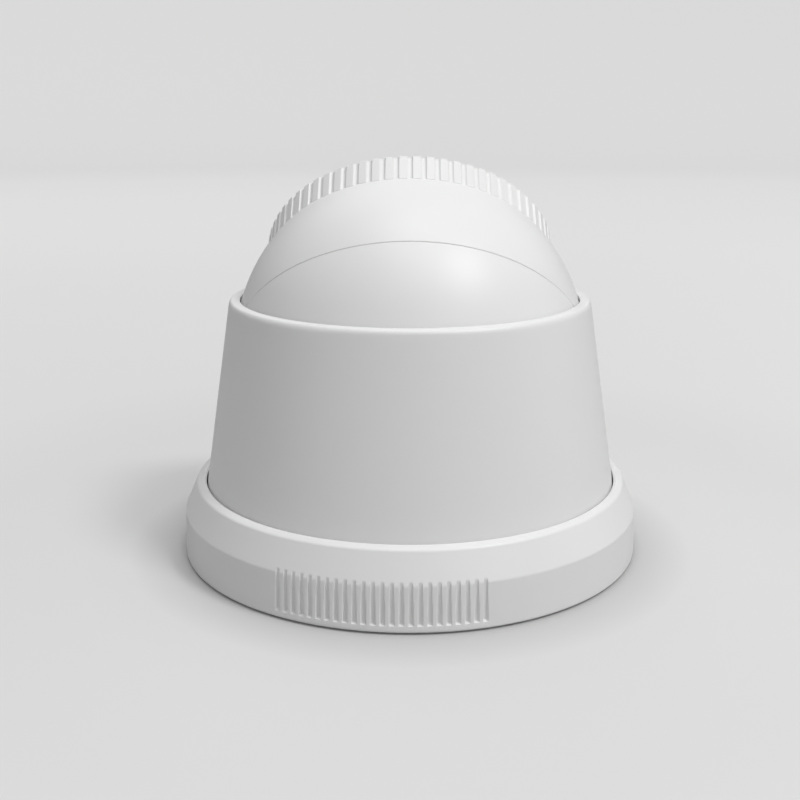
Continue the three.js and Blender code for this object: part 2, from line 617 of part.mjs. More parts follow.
add(ballGroup, "image_sensor", block(7, 7, holderD, holderD + 0.8), chip);
[[1, 1], [-1, -1]].forEach(([sx, sy], i) => {
  add(ballGroup, `frame_screw_${i + 1}`,
    move(screw(6), sx * FRAME_POST, sy * FRAME_POST, SENSOR_BOARD_D - FIT), steel);
});
add(ballGroup, "lens_holder", lensHolder(), black);
add(ballGroup, "lens_barrel", lensBarrel(), black);
add(ballGroup, "front_element", frontElement(), glass);
add(ballGroup, "filter_carriage", filterCarriage(), black);
add(ballGroup, "infrared_filter", filterPane(0), filterGlass);
add(ballGroup, "clear_pane", filterPane(1), filterGlass);

export default root;
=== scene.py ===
"""A ceiling-mount eyeball security camera in white satin plastic, stood on its mounting face.

Sizes are in millimetres unless a comment says otherwise. Two frames are used: the part's own, and
the lens frame, whose origin is the ball's centre and whose Z is the lens axis.
"""

import json
import math

import bmesh
import bpy
import numpy as np
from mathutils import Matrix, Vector


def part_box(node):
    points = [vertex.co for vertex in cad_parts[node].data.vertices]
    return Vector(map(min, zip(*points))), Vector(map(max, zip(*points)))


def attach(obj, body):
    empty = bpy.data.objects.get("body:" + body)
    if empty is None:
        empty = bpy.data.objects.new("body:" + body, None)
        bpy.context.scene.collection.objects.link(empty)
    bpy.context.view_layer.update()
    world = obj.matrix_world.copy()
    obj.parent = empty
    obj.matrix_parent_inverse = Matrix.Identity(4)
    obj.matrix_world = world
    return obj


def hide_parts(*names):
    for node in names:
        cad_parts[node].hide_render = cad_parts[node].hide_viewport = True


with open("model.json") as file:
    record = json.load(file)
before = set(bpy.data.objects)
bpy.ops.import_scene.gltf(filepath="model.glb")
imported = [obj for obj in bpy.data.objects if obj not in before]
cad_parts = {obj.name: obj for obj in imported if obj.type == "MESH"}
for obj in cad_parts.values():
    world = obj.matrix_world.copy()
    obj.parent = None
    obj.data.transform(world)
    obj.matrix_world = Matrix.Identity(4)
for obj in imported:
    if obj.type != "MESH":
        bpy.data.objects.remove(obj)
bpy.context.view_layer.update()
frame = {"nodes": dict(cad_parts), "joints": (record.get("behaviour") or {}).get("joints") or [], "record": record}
scene = bpy.context.scene

MM = 0.001             # a millimetre in metres
SMOOTH = 180           # steps round a large turned piece
SMALL = 48             # steps round a small one
RUN = 0.35             # clearance of the large turning joints
FIT = 0.3              # clearance between touching pieces

# ---- sizes: base ring, in angles from +X ----
WALL_DRAFT = 0.35
CHAMFER_IN = 2.55
CHAMFER_H = 5.65
RIM_W = 1.9
RIM_DROP = 0.55
SKIRT_T = 2.0
GRIP_SECTORS = 3
GRIP_GROOVES = 24
GRIP_PITCH = 2.022     # degrees
GRIP_CENTRE = 83.1     # degrees
GRIP_DEPTH = 0.66
GRIP_SHARE = 0.66      # part of the pitch from rib top to rib top, its soft edges included
GRIP_EDGE = 0.55       # part of a groove's half width that its soft edge takes
GRIP_FLOOR = 1.35      # solid band under the grooves
GROOVE_STEPS = 12      # steps across one groove
PLAIN_STEPS = 36       # steps from one grip patch to the next
LUG_CENTRES = (90, 210, 330)
LUG_HALF = 7           # degrees

# ---- sizes: mounting plate ----
PLATE_HOLE_R = 11.0
TRACK_GAP = 1.5        # from the skirt to the track that the lugs turn in
TRACK_TOP = 1.65
TRACK_BACK = 8         # degrees of track behind a lug
TRACK_AHEAD = 33       # degrees of track ahead of it
DOOR_START = 17        # degrees from the lug to where it can lift out
SLOT_CIRCLE_R = 30
SLOT_W = 4.6
SLOT_HALF = 2.2        # from a screw slot's middle to the centre of its round end

# ---- sizes: cup and saddle ----
CUP_TAPER = math.tan(math.radians(8.95))
CUP_WALL = 2.07
CUP_ROWS = 26          # rows of points up the wall
FOOT_T = 2.0
FOOT_OUT = 1.15        # how far the foot stands out from the taper
FOOT_ROUND = 0.25
MOUTH_GAP = 0.3        # cup's mouth round the ball
LIP_ROUND = 1.25
LIP_ROUND_IN = 0.5
NOTCH_R = 31.3         # front cut-out
NOTCH_CORNER = 2.2     # rounding where the front cut-out meets the lip
DECK_T = 1.8
SEAT_WALL = 1.2        # saddle's wall round the friction ring
DECK_POST_R = 3.2
DECK_POST_H = 9.0
DECK_WEB = 4.7         # web from a post out to the cup's wall
WEB_W = 2.0            # thickness of every post's web
CABLE_SLOT_W = 9.2

# ---- sizes: ball, pivots and grommet ----
SHELL_T = 2.2
SEAM_D = -1.64         # height of the seam along the lens axis
SEAM_GAP = 0.045
SEAM_ROUND = 0.12
TONGUE_T = 1.2         # front shell's tongue inside the rear shell
TONGUE_H = 2.6
NECK_T = 2.2
POST_SPLIT = -12.0     # height where the shells' screw posts meet
FRONT_POST_TOP = 11.0
SHELL_POST_R = 2.8
BOARD_POST_R = 2.4
HEAD_WELL_R = 2.5      # wells that the shell screws' heads sink into
PIN_R = 2.0
PIN_HEAD_R = 3.4
PIN_HEAD_T = 1.8
PIN_POCKET_R = 3.7
PIN_POCKET_IN = 24
PIN_BORE_R = 2.3
PIN_SEAT_R = 2.35
WASHER_R = 5.2
GROMMET_R = 4.2
GROMMET_BORE_R = 2.6
GROMMET_HEAD_R = 6.2
GROMMET_HEAD_T = 1.4

# ---- sizes: lens ring and face ----
RIBS = 72
RIB_GROOVE = 0.46      # part of the pitch that is groove
RIB_DEPTH = 0.38
BEZEL_W = 2.5
HUB_R = 25.9
HUB_T = 1.7
WEB_T = 1.4
CLIP_DEPTH = 0.7       # groove for the snap ring
LAMPS = [f"ir_led_{i:02d}" for i in range(1, 13)]
LAMP_HOLE_R = 2.6
LAMP_FLARE_R = 3.0
BARREL_BORE_R = 3.2

# ---- sizes: screws ----
SCREW_R = 1.2
SCREW_HOLE_R = 1.5
SCREW_HEAD_H = 1.5
HEAD_EDGE = 0.5        # straight edge of the head, under its dome
THREADS = 12
THREAD_END = 0.6       # plain part of the shank
RECESS_W = 0.55
RECESS_SHARE = 0.62    # length of the recess as part of the head
RECESS_DEPTH = 0.9


# ---- measuring the frame ----
def joint(name):
    return next(j for j in frame["joints"] if j["name"] == name)


BALL_CENTRE = np.array(joint("tilt")["pos_m"]) / MM
LENS_AXIS = np.array(joint("picture_roll")["axis"], float)
LENS_AXIS /= np.linalg.norm(LENS_AXIS)
LENS_TURN = np.column_stack([(1, 0, 0), np.cross(LENS_AXIS, (1, 0, 0)), LENS_AXIS])


def points_of(node):
    """A node's corners in the part's frame."""
    return np.array([v.co for v in frame["nodes"][node].data.vertices]) / MM


def lens_points_of(node):
    """A node's corners in the lens frame."""
    return (points_of(node) - BALL_CENTRE) @ LENS_TURN


def span(points):
    """Lowest height, highest height, smallest and largest radius about Z."""
    radius = np.hypot(points[:, 0], points[:, 1])
    return points[:, 2].min(), points[:, 2].max(), radius.min(), radius.max()


def middle(points):
    """Centre of some points seen along Z."""
    low, high = points.min(axis=0), points.max(axis=0)
    return (low[0] + high[0]) / 2, (low[1] + high[1]) / 2


def places_of(kind, count, measured=lens_points_of):
    """Centres of a set of screws."""
    return [middle(measured(f"{kind}_{i}")) for i in range(1, count + 1)]


def to_world(points, lens):
    return points @ LENS_TURN.T + BALL_CENTRE if lens else points


def chord(radius, height):
    """Radius of a ball's slice at a height over its centre."""
    return math.sqrt(max(radius * radius - height * height, 0.0))


def polar(radius, angle):
    """A point at a radius and an angle in degrees."""
    return radius * math.cos(math.radians(angle)), radius * math.sin(math.radians(angle))


BALL_R = np.linalg.norm(points_of("rear_shell") - BALL_CENTRE, axis=1).max()
BALL_Z = BALL_CENTRE[2]
FLAT_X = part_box("rear_shell")[1].x / MM
SHELL_IN_R = BALL_R - SHELL_T
BALL_FACE = lens_points_of("front_shell")[:, 2].max()
CUP_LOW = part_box("cup_housing")[0].z / MM
CUP_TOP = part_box("cup_housing")[1].z / MM
FOOT_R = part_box("cup_housing")[1].x / MM
FOOT_TOP = CUP_LOW + FOOT_T
DECK_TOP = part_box("ball_saddle")[1].z / MM
BASE_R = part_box("base_ring")[1].x / MM


def cup_r(z):
    """Radius of the cup's tapered outside."""
    return FOOT_R - FOOT_OUT + (FOOT_TOP - z) * CUP_TAPER


# ---- mesh building ----
def new_piece(name, points, faces, lens=False, angle=35):
    """A mesh object from points in millimetres, smooth except at edges sharper than the angle."""
    mesh = bpy.data.meshes.new(name)
    mesh.from_pydata((to_world(np.asarray(points, float), lens) * MM).tolist(), [], faces)
    piece = bpy.data.objects.new(name, mesh)
    scene.collection.objects.link(piece)
    tidy(piece, angle)
    return piece


def tidy(piece, angle=35):
    """Merges doubles, turns every face outwards and marks the sharp edges."""
    work = bmesh.new()
    work.from_mesh(piece.data)
    bmesh.ops.remove_doubles(work, verts=work.verts, dist=1e-7)
    bmesh.ops.recalc_face_normals(work, faces=work.faces)
    for face in work.faces:
        face.smooth = True
    work.to_mesh(piece.data)
    work.free()
    piece.data.set_sharp_from_angle(angle=math.radians(angle))


def bend(start, corner, end, steps):
    """Points of a curve that rounds a corner, both ends included."""
    return [(1 - t) ** 2 * start + 2 * t * (1 - t) * corner + t * t * end
            for t in np.linspace(0, 1, steps + 1)]


def rounded(corners, steps=5):
    """A closed outline of (x, y, radius) corners, each corner rounded.

    A support point beside each rounding keeps the flat next to it shaded flat.
    """
    most, support, support_share = 0.48, 0.05, 0.02
    points = []
    for i, (x, y, radius) in enumerate(corners):
        here = np.array((x, y), float)
        back = np.array(corners[i - 1][:2], float) - here
        ahead = np.array(corners[(i + 1) % len(corners)][:2], float) - here
        long_back, long_ahead = np.linalg.norm(back), np.linalg.norm(ahead)
        if radius <= 0 or long_back < 1e-9 or long_ahead < 1e-9:
            points.append(here)
            continue
        back, ahead = back / long_back, ahead / long_ahead
        half = math.acos(max(-1, min(1, float(back @ ahead)))) / 2
        reach = min(radius / max(math.tan(half), 1e-3), most * long_back, most * long_ahead)
        start = here + back * reach
        end = here + ahead * reach
        points.append(start + back * min(support, support_share * long_back))
        points += bend(start, here, end, steps)
        points.append(end + ahead * min(support, support_share * long_ahead))
    return np.array(points)


def band(inner, outer, low, high, edge, steps=4):
    """Outline of a flat ring, or of a disc where the inner radius is 0."""
    in_edge = edge if inner else 0
    return rounded([
        (inner, low, in_edge), (outer, low, edge), (outer, high, edge), (inner, high, in_edge)], steps)


def ball_arc(radius, low, high, steps):
    """Corners along a circle about the origin between two heights."""
    lats = np.linspace(math.asin(max(-1, low / radius)), math.asin(min(1, high / radius)), steps + 1)
    return [(max(radius * math.cos(a), 0.0), radius * math.sin(a), 0) for a in lats]


def strips(rows, count, closed=False):
    """Faces between rows of points, each row a closed loop; closed joins the last row to the first."""
    faces = []
    for i in range(rows if closed else rows - 1):
        j = (i + 1) % rows
        for k in range(count):
            n = (k + 1) % count
            faces.append([i * count + k, i * count + n, j * count + n, j * count + k])
    return faces


def turned(name, outline, steps=SMOOTH, lens=False, angles=None, shift=None, centre=(0, 0), angle=35):
    """An outline of (radius, height) points turned about Z; a shift changes the radius with the angle."""
    outline = np.asarray(outline, float)[:, :2]
    angles = np.radians(np.linspace(0, 360, steps, endpoint=False) if angles is None else angles)
    count = len(angles)
    radius = np.repeat(outline[:, :1], count, axis=1)
    if shift is not None:
        radius = radius - shift(np.degrees(angles), outline)
    x = radius * np.cos(angles) + centre[0]
    y = radius * np.sin(angles) + centre[1]
    z = np.repeat(outline[:, 1:], count, axis=1)
    points = np.stack([x, y, z], -1).reshape(-1, 3)
    on_axis = outline[:, 0] < 1e-6
    faces = []
    for corners in strips(len(outline), count, True):
        first, second = on_axis[corners[0] // count], on_axis[corners[2] // count]
        if first and second:
            continue
        if first:
            corners.pop(1)
        elif second:
            corners.pop(2)
        faces.append(corners)
    return new_piece(name, points, faces, lens, angle)


def combined(piece, others, operation):
    """Cuts the others from a piece, or joins them to it, and removes them."""
    for other in others:
        step = piece.modifiers.new(operation, "BOOLEAN")
        step.operation = operation
        step.object = other
        step.solver = "MANIFOLD"
    graph = bpy.context.evaluated_depsgraph_get()
    graph.update()
    mesh = bpy.data.meshes.new_from_object(piece.evaluated_get(graph))
    piece.modifiers.clear()
    piece.data = mesh
    tidy(piece)
    for other in others:
        bpy.data.objects.remove(other)


def cut(piece, *others):
    combined(piece, others, "DIFFERENCE")


def joined(piece, *others):
    combined(piece, others, "UNION")


def rod(radius, x, y, low, high, lens=False, steps=24, edge=0.0):
    """A round bar along Z, with a rounded edge at both ends."""
    return turned("rod", band(0, radius, low, high, edge, 3), steps, lens, centre=(x, y))


def bar(width, depth, low, high, x=0, y=0, turn=0, lens=False):
    """A block along Z, turned about Z by an angle in degrees."""
    corners = [(sx * width / 2, sy * depth / 2, z) for z in (low, high) for sx, sy in
               ((-1, -1), (1, -1), (1, 1), (-1, 1))]
    c, s = polar(1, turn)
    points = [(c * a - s * b + x, s * a + c * b + y, z) for a, b, z in corners]
    faces = [(3, 2, 1, 0), (4, 5, 6, 7), *strips(2, 4)]
    return new_piece("bar", points, faces, lens)


def cross_rod(radius, low, high, z=0.0, lens=False, steps=32):
    """A round bar along X at a height."""
    outline = ((0, low), (radius, low), (radius, high), (0, high))
    angles = np.radians(np.linspace(0, 360, steps, endpoint=False))
    points = [(h, r * math.cos(a), r * math.sin(a) + z) for r, h in outline for a in angles]
    return new_piece("rod", points, strips(4, steps), lens)


def web(x, y, length, low, high, lens=False):
    """A thin wall that reaches outwards from a post at a point."""
    angle = math.degrees(math.atan2(y, x))
    across, along = polar(math.hypot(x, y) + length / 2, angle)
    return bar(length, WEB_W, low, high, across, along, angle, lens)


def arc_block(inner, outer, low, high, start, end, steps=10):
    """A block bent round Z between two angles."""
    along = np.linspace(start, end, steps + 1)
    loop = [polar(outer, a) for a in along] + [polar(inner, a) for a in along[::-1]]
    count = len(loop)
    points = [(x, y, z) for z in (low, high) for x, y in loop]
    faces = [list(range(count))[::-1], list(range(count, 2 * count)), *strips(2, count)]
    return new_piece("arc", points, faces)


# ---- materials ----
SURFACE = (("Colour", "NodeSocketColor"), ("Roughness", "NodeSocketFloat"), ("Height", "NodeSocketFloat"))
WORN_WHITE = (0.92, 0.92, 0.91, 1)


def add_node(tree, kind, values=(), feeds=(), **settings):
    """A shader node with its settings, its inputs' plain values and the sockets that feed them."""
    made = tree.nodes.new(kind)
    for name, value in settings.items():
        setattr(made, name, value)
    for name, value in dict(values).items():
        made.inputs[name].default_value = value
    for name, socket in dict(feeds).items():
        tree.links.new(socket, made.inputs[name])
    return made


def worked(tree, operation, *terms):
    """The result of a Math node; each term is a number or the socket that feeds it."""
    values = {i: term for i, term in enumerate(terms) if isinstance(term, (int, float))}
    feeds = {i: term for i, term in enumerate(terms) if i not in values}
    return add_node(tree, "ShaderNodeMath", values, feeds, operation=operation).outputs[0]


def group(name, inputs, outputs):
    """An empty node group with its sockets, and the nodes that hold them."""
    tree = bpy.data.node_groups.new(name, "ShaderNodeTree")
    for label, kind, value in inputs:
        socket = tree.interface.new_socket(label, in_out="INPUT", socket_type=kind)
        socket.default_value = value
    for label, kind in outputs:
        tree.interface.new_socket(label, in_out="OUTPUT", socket_type=kind)
    return tree, tree.nodes.new("NodeGroupInput").outputs, tree.nodes.new("NodeGroupOutput").inputs


def object_place(tree):
    """Feeds a texture with the place on the object."""
    return {"Vector": add_node(tree, "ShaderNodeTexCoord").outputs["Object"]}


def moulded_skin():
    """Moulded plastic: a fine spark grain, slow drifts of tone and gloss, and edges rubbed smoother."""
    tree, given, made = group("moulded_skin", [
        ("Colour", "NodeSocketColor", (0.8, 0.8, 0.8, 1)),
        ("Tone drift", "NodeSocketFloat", 0.03),
        ("Roughness", "NodeSocketFloat", 0.45),
        ("Gloss drift", "NodeSocketFloat", 0.06),
        ("Grain size", "NodeSocketFloat", 5200.0),
        ("Edge wear", "NodeSocketFloat", 0.15),
    ], SURFACE)
    place = object_place(tree)
    slow = add_node(tree, "ShaderNodeTexNoise", {"Scale": 55.0, "Detail": 3.0, "Roughness": 0.5}, place)
    grain = add_node(tree, "ShaderNodeTexNoise", {"Detail": 2.0, "Roughness": 0.6},
                     {**place, "Scale": given["Grain size"]})
    patches = add_node(tree, "ShaderNodeTexNoise", {"Scale": 240.0, "Detail": 4.0, "Roughness": 0.55}, place)
    centred = worked(tree, "SUBTRACT", slow.outputs["Fac"], 0.5)
    drift = worked(tree, "MULTIPLY_ADD", centred, given["Tone drift"], 1.0)
    tone = add_node(tree, "ShaderNodeVectorMath", (), {0: given["Colour"], "Scale": drift},
                    operation="SCALE")
    edges = add_node(tree, "ShaderNodeMapRange", {"From Min": 0.52, "From Max": 0.62},
                     {"Value": add_node(tree, "ShaderNodeNewGeometry").outputs["Pointiness"]})
    worn = worked(tree, "MULTIPLY", edges.outputs["Result"], given["Edge wear"])
    broken = worked(tree, "MULTIPLY", worn, patches.outputs["Fac"])
    lighter = add_node(tree, "ShaderNodeMix", {"B": WORN_WHITE}, {"Factor": broken, "A": tone.outputs[0]},
                       data_type="RGBA")
    gloss = worked(tree, "SUBTRACT", patches.outputs["Fac"], 0.5)
    spread = worked(tree, "MULTIPLY_ADD", gloss, given["Gloss drift"], given["Roughness"])
    tree.links.new(lighter.outputs["Result"], made["Colour"])
    tree.links.new(worked(tree, "MULTIPLY_ADD", broken, -0.35, spread), made["Roughness"])
    tree.links.new(grain.outputs["Fac"], made["Height"])
    return tree


def brushed_metal():
    """Plated metal: fine scratches and dull patches."""
    tree, given, made = group("brushed_metal", [
        ("Colour", "NodeSocketColor", (0.6, 0.6, 0.6, 1)),
        ("Roughness", "NodeSocketFloat", 0.3),
    ], SURFACE)
    place = object_place(tree)
    stretch = add_node(tree, "ShaderNodeMapping", {"Scale": (9000.0, 900.0, 900.0)}, place)
    lines = add_node(tree, "ShaderNodeTexNoise", {"Scale": 1.0, "Detail": 3.0},
                     {"Vector": stretch.outputs["Vector"]})
    patches = add_node(tree, "ShaderNodeTexNoise", {"Scale": 700.0, "Detail": 4.0}, place).outputs["Fac"]
    shade = add_node(tree, "ShaderNodeMapRange", {"To Min": 0.82, "To Max": 1.08}, {"Value": patches})
    tone = add_node(tree, "ShaderNodeVectorMath", (),
                    {0: given["Colour"], "Scale": shade.outputs["Result"]}, operation="SCALE")
    tree.links.new(tone.outputs[0], made["Colour"])
    tree.links.new(worked(tree, "MULTIPLY_ADD", patches, 0.25, given["Roughness"]), made["Roughness"])
    tree.links.new(lines.outputs["Fac"], made["Height"])
    return tree


def printed_tracks():
    """A circuit board's face: solder mask, tracks under it and tinned pads."""
    tree, given, made = group("printed_tracks", [
        ("Mask", "NodeSocketColor", (0.02, 0.15, 0.06, 1)),
        ("Track", "NodeSocketColor", (0.06, 0.28, 0.12, 1)),
        ("Pad", "NodeSocketColor", (0.6, 0.58, 0.5, 1)),
    ], (("Colour", "NodeSocketColor"), ("Pads", "NodeSocketFloat"), ("Height", "NodeSocketFloat")))
    place = object_place(tree)
    tracks = add_node(tree, "ShaderNodeTexBrick", {
        "Scale": 330.0, "Mortar Size": 0.05, "Mortar Smooth": 0.2, "Brick Width": 0.9, "Row Height": 0.28,
        "Color1": (0, 0, 0, 1), "Color2": (0, 0, 0, 1), "Mortar": (1, 1, 1, 1)}, place).outputs["Color"]
    pads = add_node(tree, "ShaderNodeTexVoronoi", {"Scale": 480.0, "Randomness": 0.35}, place)
    spot = worked(tree, "LESS_THAN", pads.outputs["Distance"], 0.16)
    under = add_node(tree, "ShaderNodeMix", (), {"Factor": tracks, "A": given["Mask"], "B": given["Track"]},
                     data_type="RGBA")
    tinned = add_node(tree, "ShaderNodeMix", (), {
        "Factor": spot, "A": under.outputs["Result"], "B": given["Pad"]}, data_type="RGBA")
    tree.links.new(tinned.outputs["Result"], made["Colour"])
    tree.links.new(spot, made["Pads"])
    tree.links.new(tracks, made["Height"])
    return tree


SKIN = moulded_skin()
METAL = brushed_metal()
TRACKS = printed_tracks()


def shader(name, values):
    """A material with a Principled shader, its plain values set on the shader itself."""
    material = bpy.data.materials.new(name)
    material.use_nodes = True
    tree = material.node_tree
    main = tree.nodes["Principled BSDF"]
    for label, value in values.items():
        main.inputs[label].default_value = value
    return material, tree, main


def surfaced(name, shader_values, effect, values, feeds, bump, depth):
    """A material whose shader is fed by a node group placed in it with its own values."""
    material, tree, main = shader(name, shader_values)
    placed = tree.nodes.new("ShaderNodeGroup")
    placed.node_tree = effect
    for label, value in values.items():
        placed.inputs[label].default_value = value
    for output, label in feeds:
        tree.links.new(placed.outputs[output], main.inputs[label])
    bumped = add_node(tree, "ShaderNodeBump", {"Strength": bump, "Distance": depth * MM},
                      {"Height": placed.outputs["Height"]})
    tree.links.new(bumped.outputs["Normal"], main.inputs["Normal"])
    return material


COLOUR_AND_GLOSS = (("Colour", "Base Color"), ("Roughness", "Roughness"))


def moulded(name, colour, roughness, drift=0.03, gloss=0.06, grain=5200.0, wear=0.15, bump=0.25, depth=0.01,
            **shader_values):
    """A moulded plastic or rubber."""
    values = {"Colour": (*colour, 1), "Tone drift": drift, "Roughness": roughness, "Gloss drift": gloss,
              "Grain size": grain, "Edge wear": wear}
    return surfaced(name, shader_values, SKIN, values, COLOUR_AND_GLOSS, bump, depth)


def plated(name, colour, roughness):
    """A plated metal."""
    values = {"Colour": (*colour, 1), "Roughness": roughness}
    return surfaced(name, {"Metallic": 1.0}, METAL, values, COLOUR_AND_GLOSS, 0.15, 0.01)


def clear(name, colour, roughness, ior):
    """A polished clear pane or lens, with faint smears."""
    material, tree, main = shader(name, {
        "Base Color": (*colour, 1), "Transmission Weight": 1.0, "IOR": ior})
    smears = add_node(tree, "ShaderNodeTexNoise", {"Scale": 90.0, "Detail": 4.0}, object_place(tree))
    amount = add_node(tree, "ShaderNodeMapRange", {
        "From Min": 0.45, "From Max": 0.8, "To Min": roughness, "To Max": roughness + 0.06},
        {"Value": smears.outputs["Fac"]})
    tree.links.new(amount.outputs["Result"], main.inputs["Roughness"])
    return material


def board_finish():
    return surfaced("circuit_board", {"Roughness": 0.35}, TRACKS, {},
                    (("Colour", "Base Color"), ("Pads", "Metallic")), 0.2, 0.03)


FINISHES = {
    "white_shell": moulded("white_shell", (0.79, 0.79, 0.79), 0.42, drift=0.025, gloss=0.05, wear=0.12,
                           bump=0.22, depth=0.012),
    "inner_white": moulded("inner_white", (0.70, 0.70, 0.685), 0.55, drift=0.05, gloss=0.1),
    "black_plastic": moulded("black_plastic", (0.012, 0.012, 0.013), 0.5, drift=0.1, gloss=0.12, wear=0.02,
                             bump=0.06),
    "rubber": moulded("rubber", (0.018, 0.018, 0.018), 0.75, drift=0.2, gloss=0.1, grain=2600.0, wear=0.01,
                      bump=0.5),
    "glide_plastic": moulded("glide_plastic", (0.32, 0.32, 0.31), 0.4, drift=0.05),
    "dark_glass": clear("dark_glass", (0.62, 0.63, 0.66), 0.02, 1.5),
    "filter_glass": clear("filter_glass", (0.55, 0.78, 0.85), 0.03, 1.52),
    "circuit_board": board_finish(),
    "chip": moulded("chip", (0.02, 0.02, 0.022), 0.4, drift=0.1, grain=3000.0, wear=0.0, bump=0.4),
    "lamp_lens": moulded("lamp_lens", (0.10, 0.07, 0.09), 0.08, drift=0.1, gloss=0.03, wear=0.0, bump=0.0,
                         **{"Transmission Weight": 0.45, "IOR": 1.54}),
    "steel": plated("steel", (0.55, 0.56, 0.57), 0.22),
}


# ---- giving each piece its body, node and finish ----
SLOT_OF = {row["node"]: row["material_slot"] for row in frame["record"]["subparts"]}
BODY_OF = {node: body for body, nodes in frame["record"]["behaviour"]["bodies"].items() for node in nodes}


def settle(piece, node, name=None):
    """Names a piece and makes it stand for a node, on that node's body and in its finish."""
    piece.name = name or node + "_shape"
    piece.data.name = piece.name
    piece.data.materials.clear()
    piece.data.materials.append(FINISHES[SLOT_OF[node]])
    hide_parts(node)
    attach(piece, BODY_OF[node])


def refinish(node):
    """Gives a node that keeps its shape its finish."""
    mesh = frame["nodes"][node].data
    mesh.materials.clear()
    mesh.materials.append(FINISHES[SLOT_OF[node]])


# ---- base: grip ring, plate and glide ring ----
def grip_angles():
    """Angles round the grip ring, fine across the grooves and coarse elsewhere."""
    sector = 360 / GRIP_SECTORS
    width = (GRIP_GROOVES + 1) * GRIP_PITCH
    fine = np.linspace(-width / 2, width / 2, (GRIP_GROOVES + 1) * GROOVE_STEPS + 1)
    plain = width / 2 + np.linspace(0, sector - width, PLAIN_STEPS, endpoint=False)[1:]
    one = np.concatenate([fine, plain])
    return np.concatenate([GRIP_CENTRE + s * sector + one for s in range(GRIP_SECTORS)])


def grip_ring():
    """The ring that is gripped to twist the camera off its plate, with three lugs inside."""
    low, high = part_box("base_ring")
    z0, z1 = low.z / MM, high.z / MM
    wall_r = BASE_R - WALL_DRAFT
    rim_out = wall_r - CHAMFER_IN
    rim_in = rim_out - RIM_W
    wall_z = z1 - RIM_DROP - CHAMFER_H
    ledge_z = FOOT_TOP + RUN
    skirt = BASE_R - SKIRT_T
    floor_z = z0 + GRIP_FLOOR

    def wall(z):
        return BASE_R - WALL_DRAFT * (z - z0) / (wall_z - z0)

    def chamfer(z):
        return wall_r - (z - wall_z) * CHAMFER_IN / CHAMFER_H

    # rows lie close together where the grooves start, and where they run out on the chamfer
    rows = (*(floor_z + np.array((-0.06, 0.02, 0.1, 0.2, 0.4))), *np.linspace(floor_z + 1, wall_z - 1.4, 5))
    side = [(wall(z), z, 0) for z in rows]
    crease = rounded([(wall(wall_z - 2), wall_z - 2, 0), (wall_r, wall_z, 1.5),
                      (chamfer(wall_z + 2.5), wall_z + 2.5, 0)], 14)[1:-1]
    run_out = [(chamfer(z), z, 0) for z in np.linspace(crease[-1][1] + 0.1, wall_z + 2.4, 14)]
    outline = rounded([
        (skirt, z0, 0.2), (BASE_R, z0, 0.45), *side, *[(r, z, 0) for r, z in crease], *run_out,
        (rim_out, z1 - RIM_DROP, 0.9), (rim_in + 0.6, z1, 0.6), (rim_in, z1 - 0.35, 0.25),
        (cup_r(ledge_z) + RUN, ledge_z, 0.1), (skirt, ledge_z, 0.1),
    ])

    def grooves(angles, line):
        """How far each groove cuts in; its bottom stands upright, so it runs out on the chamfer."""
        across = (angles - GRIP_CENTRE) % (360 / GRIP_SECTORS)
        across = np.where(across > 180 / GRIP_SECTORS, across - 360 / GRIP_SECTORS, across)
        slot = across / GRIP_PITCH + (GRIP_GROOVES - 1) / 2
        nearest = np.clip(np.round(slot), 0, GRIP_GROOVES - 1)
        reach = np.clip(np.abs(slot - nearest) / (GRIP_SHARE / 2), 0, 1)
        slope = np.clip((1 - reach) / GRIP_EDGE, 0, 1)
        bottom = BASE_R - GRIP_DEPTH * slope * slope * (3 - 2 * slope)
        start = np.clip((line[:, 1] - floor_z) / 0.12, 0, 1)[:, None]
        outside = (line[:, 0] > skirt + 0.5)[:, None] & (line[:, 1] < wall_z + 3)[:, None]
        return np.where(outside, np.clip(line[:, :1] - bottom[None, :], 0, None) * start, 0)

    ring = turned("ring", outline, angles=grip_angles(), shift=grooves)
    points = points_of("base_ring")
    radius = np.hypot(points[:, 0], points[:, 1])
    lug = (radius < skirt - 0.3) & (points[:, 2] < z0 + 2)
    lug_in, lug_top = radius[lug].min(), points[lug, 2].max()
    joined(ring, *[arc_block(lug_in, skirt + 0.6, z0, lug_top, at - LUG_HALF, at + LUG_HALF)
                   for at in LUG_CENTRES])
    settle(ring, "base_ring", "grip_ring")


def mounting_plate():
    """The plate that is screwed to the ceiling, with tracks for the ring's lugs."""
    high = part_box("mounting_plate")[1]
    radius, top = high.x / MM, high.z / MM
    plate = turned("plate", rounded([
        (PLATE_HOLE_R, 0, 0.5), (radius, 0, 0.4), (radius, top, 0.3), (PLATE_HOLE_R, top, 0.5)], 4))
    track_r = BASE_R - SKIRT_T - TRACK_GAP - RUN
    cutters = []
    for at in LUG_CENTRES:
        end = at + TRACK_AHEAD
        cutters.append(arc_block(track_r, radius + 2, -1, TRACK_TOP, at - TRACK_BACK, end))
        cutters.append(arc_block(track_r, radius + 2, TRACK_TOP - 0.05, top + 1, at + DOOR_START, end))
    for angle in (30, 150, 270):
        x, y = polar(SLOT_CIRCLE_R, angle)
        for side in (-SLOT_HALF, SLOT_HALF):
            dx, dy = polar(side, angle + 90)
            cutters.append(rod(SLOT_W / 2, x + dx, y + dy, -1, top + 1))
        cutters.append(bar(2 * SLOT_HALF, SLOT_W, -1, top + 1, x, y, angle + 90))
    cut(plate, *cutters)
    settle(plate, "mounting_plate", "mounting_disc")


def glide_ring():
    low, high, inner, outer = span(points_of("glide_ring"))
    settle(turned("glide", band(inner, outer, low, high, 0.2, 3)), "glide_ring")


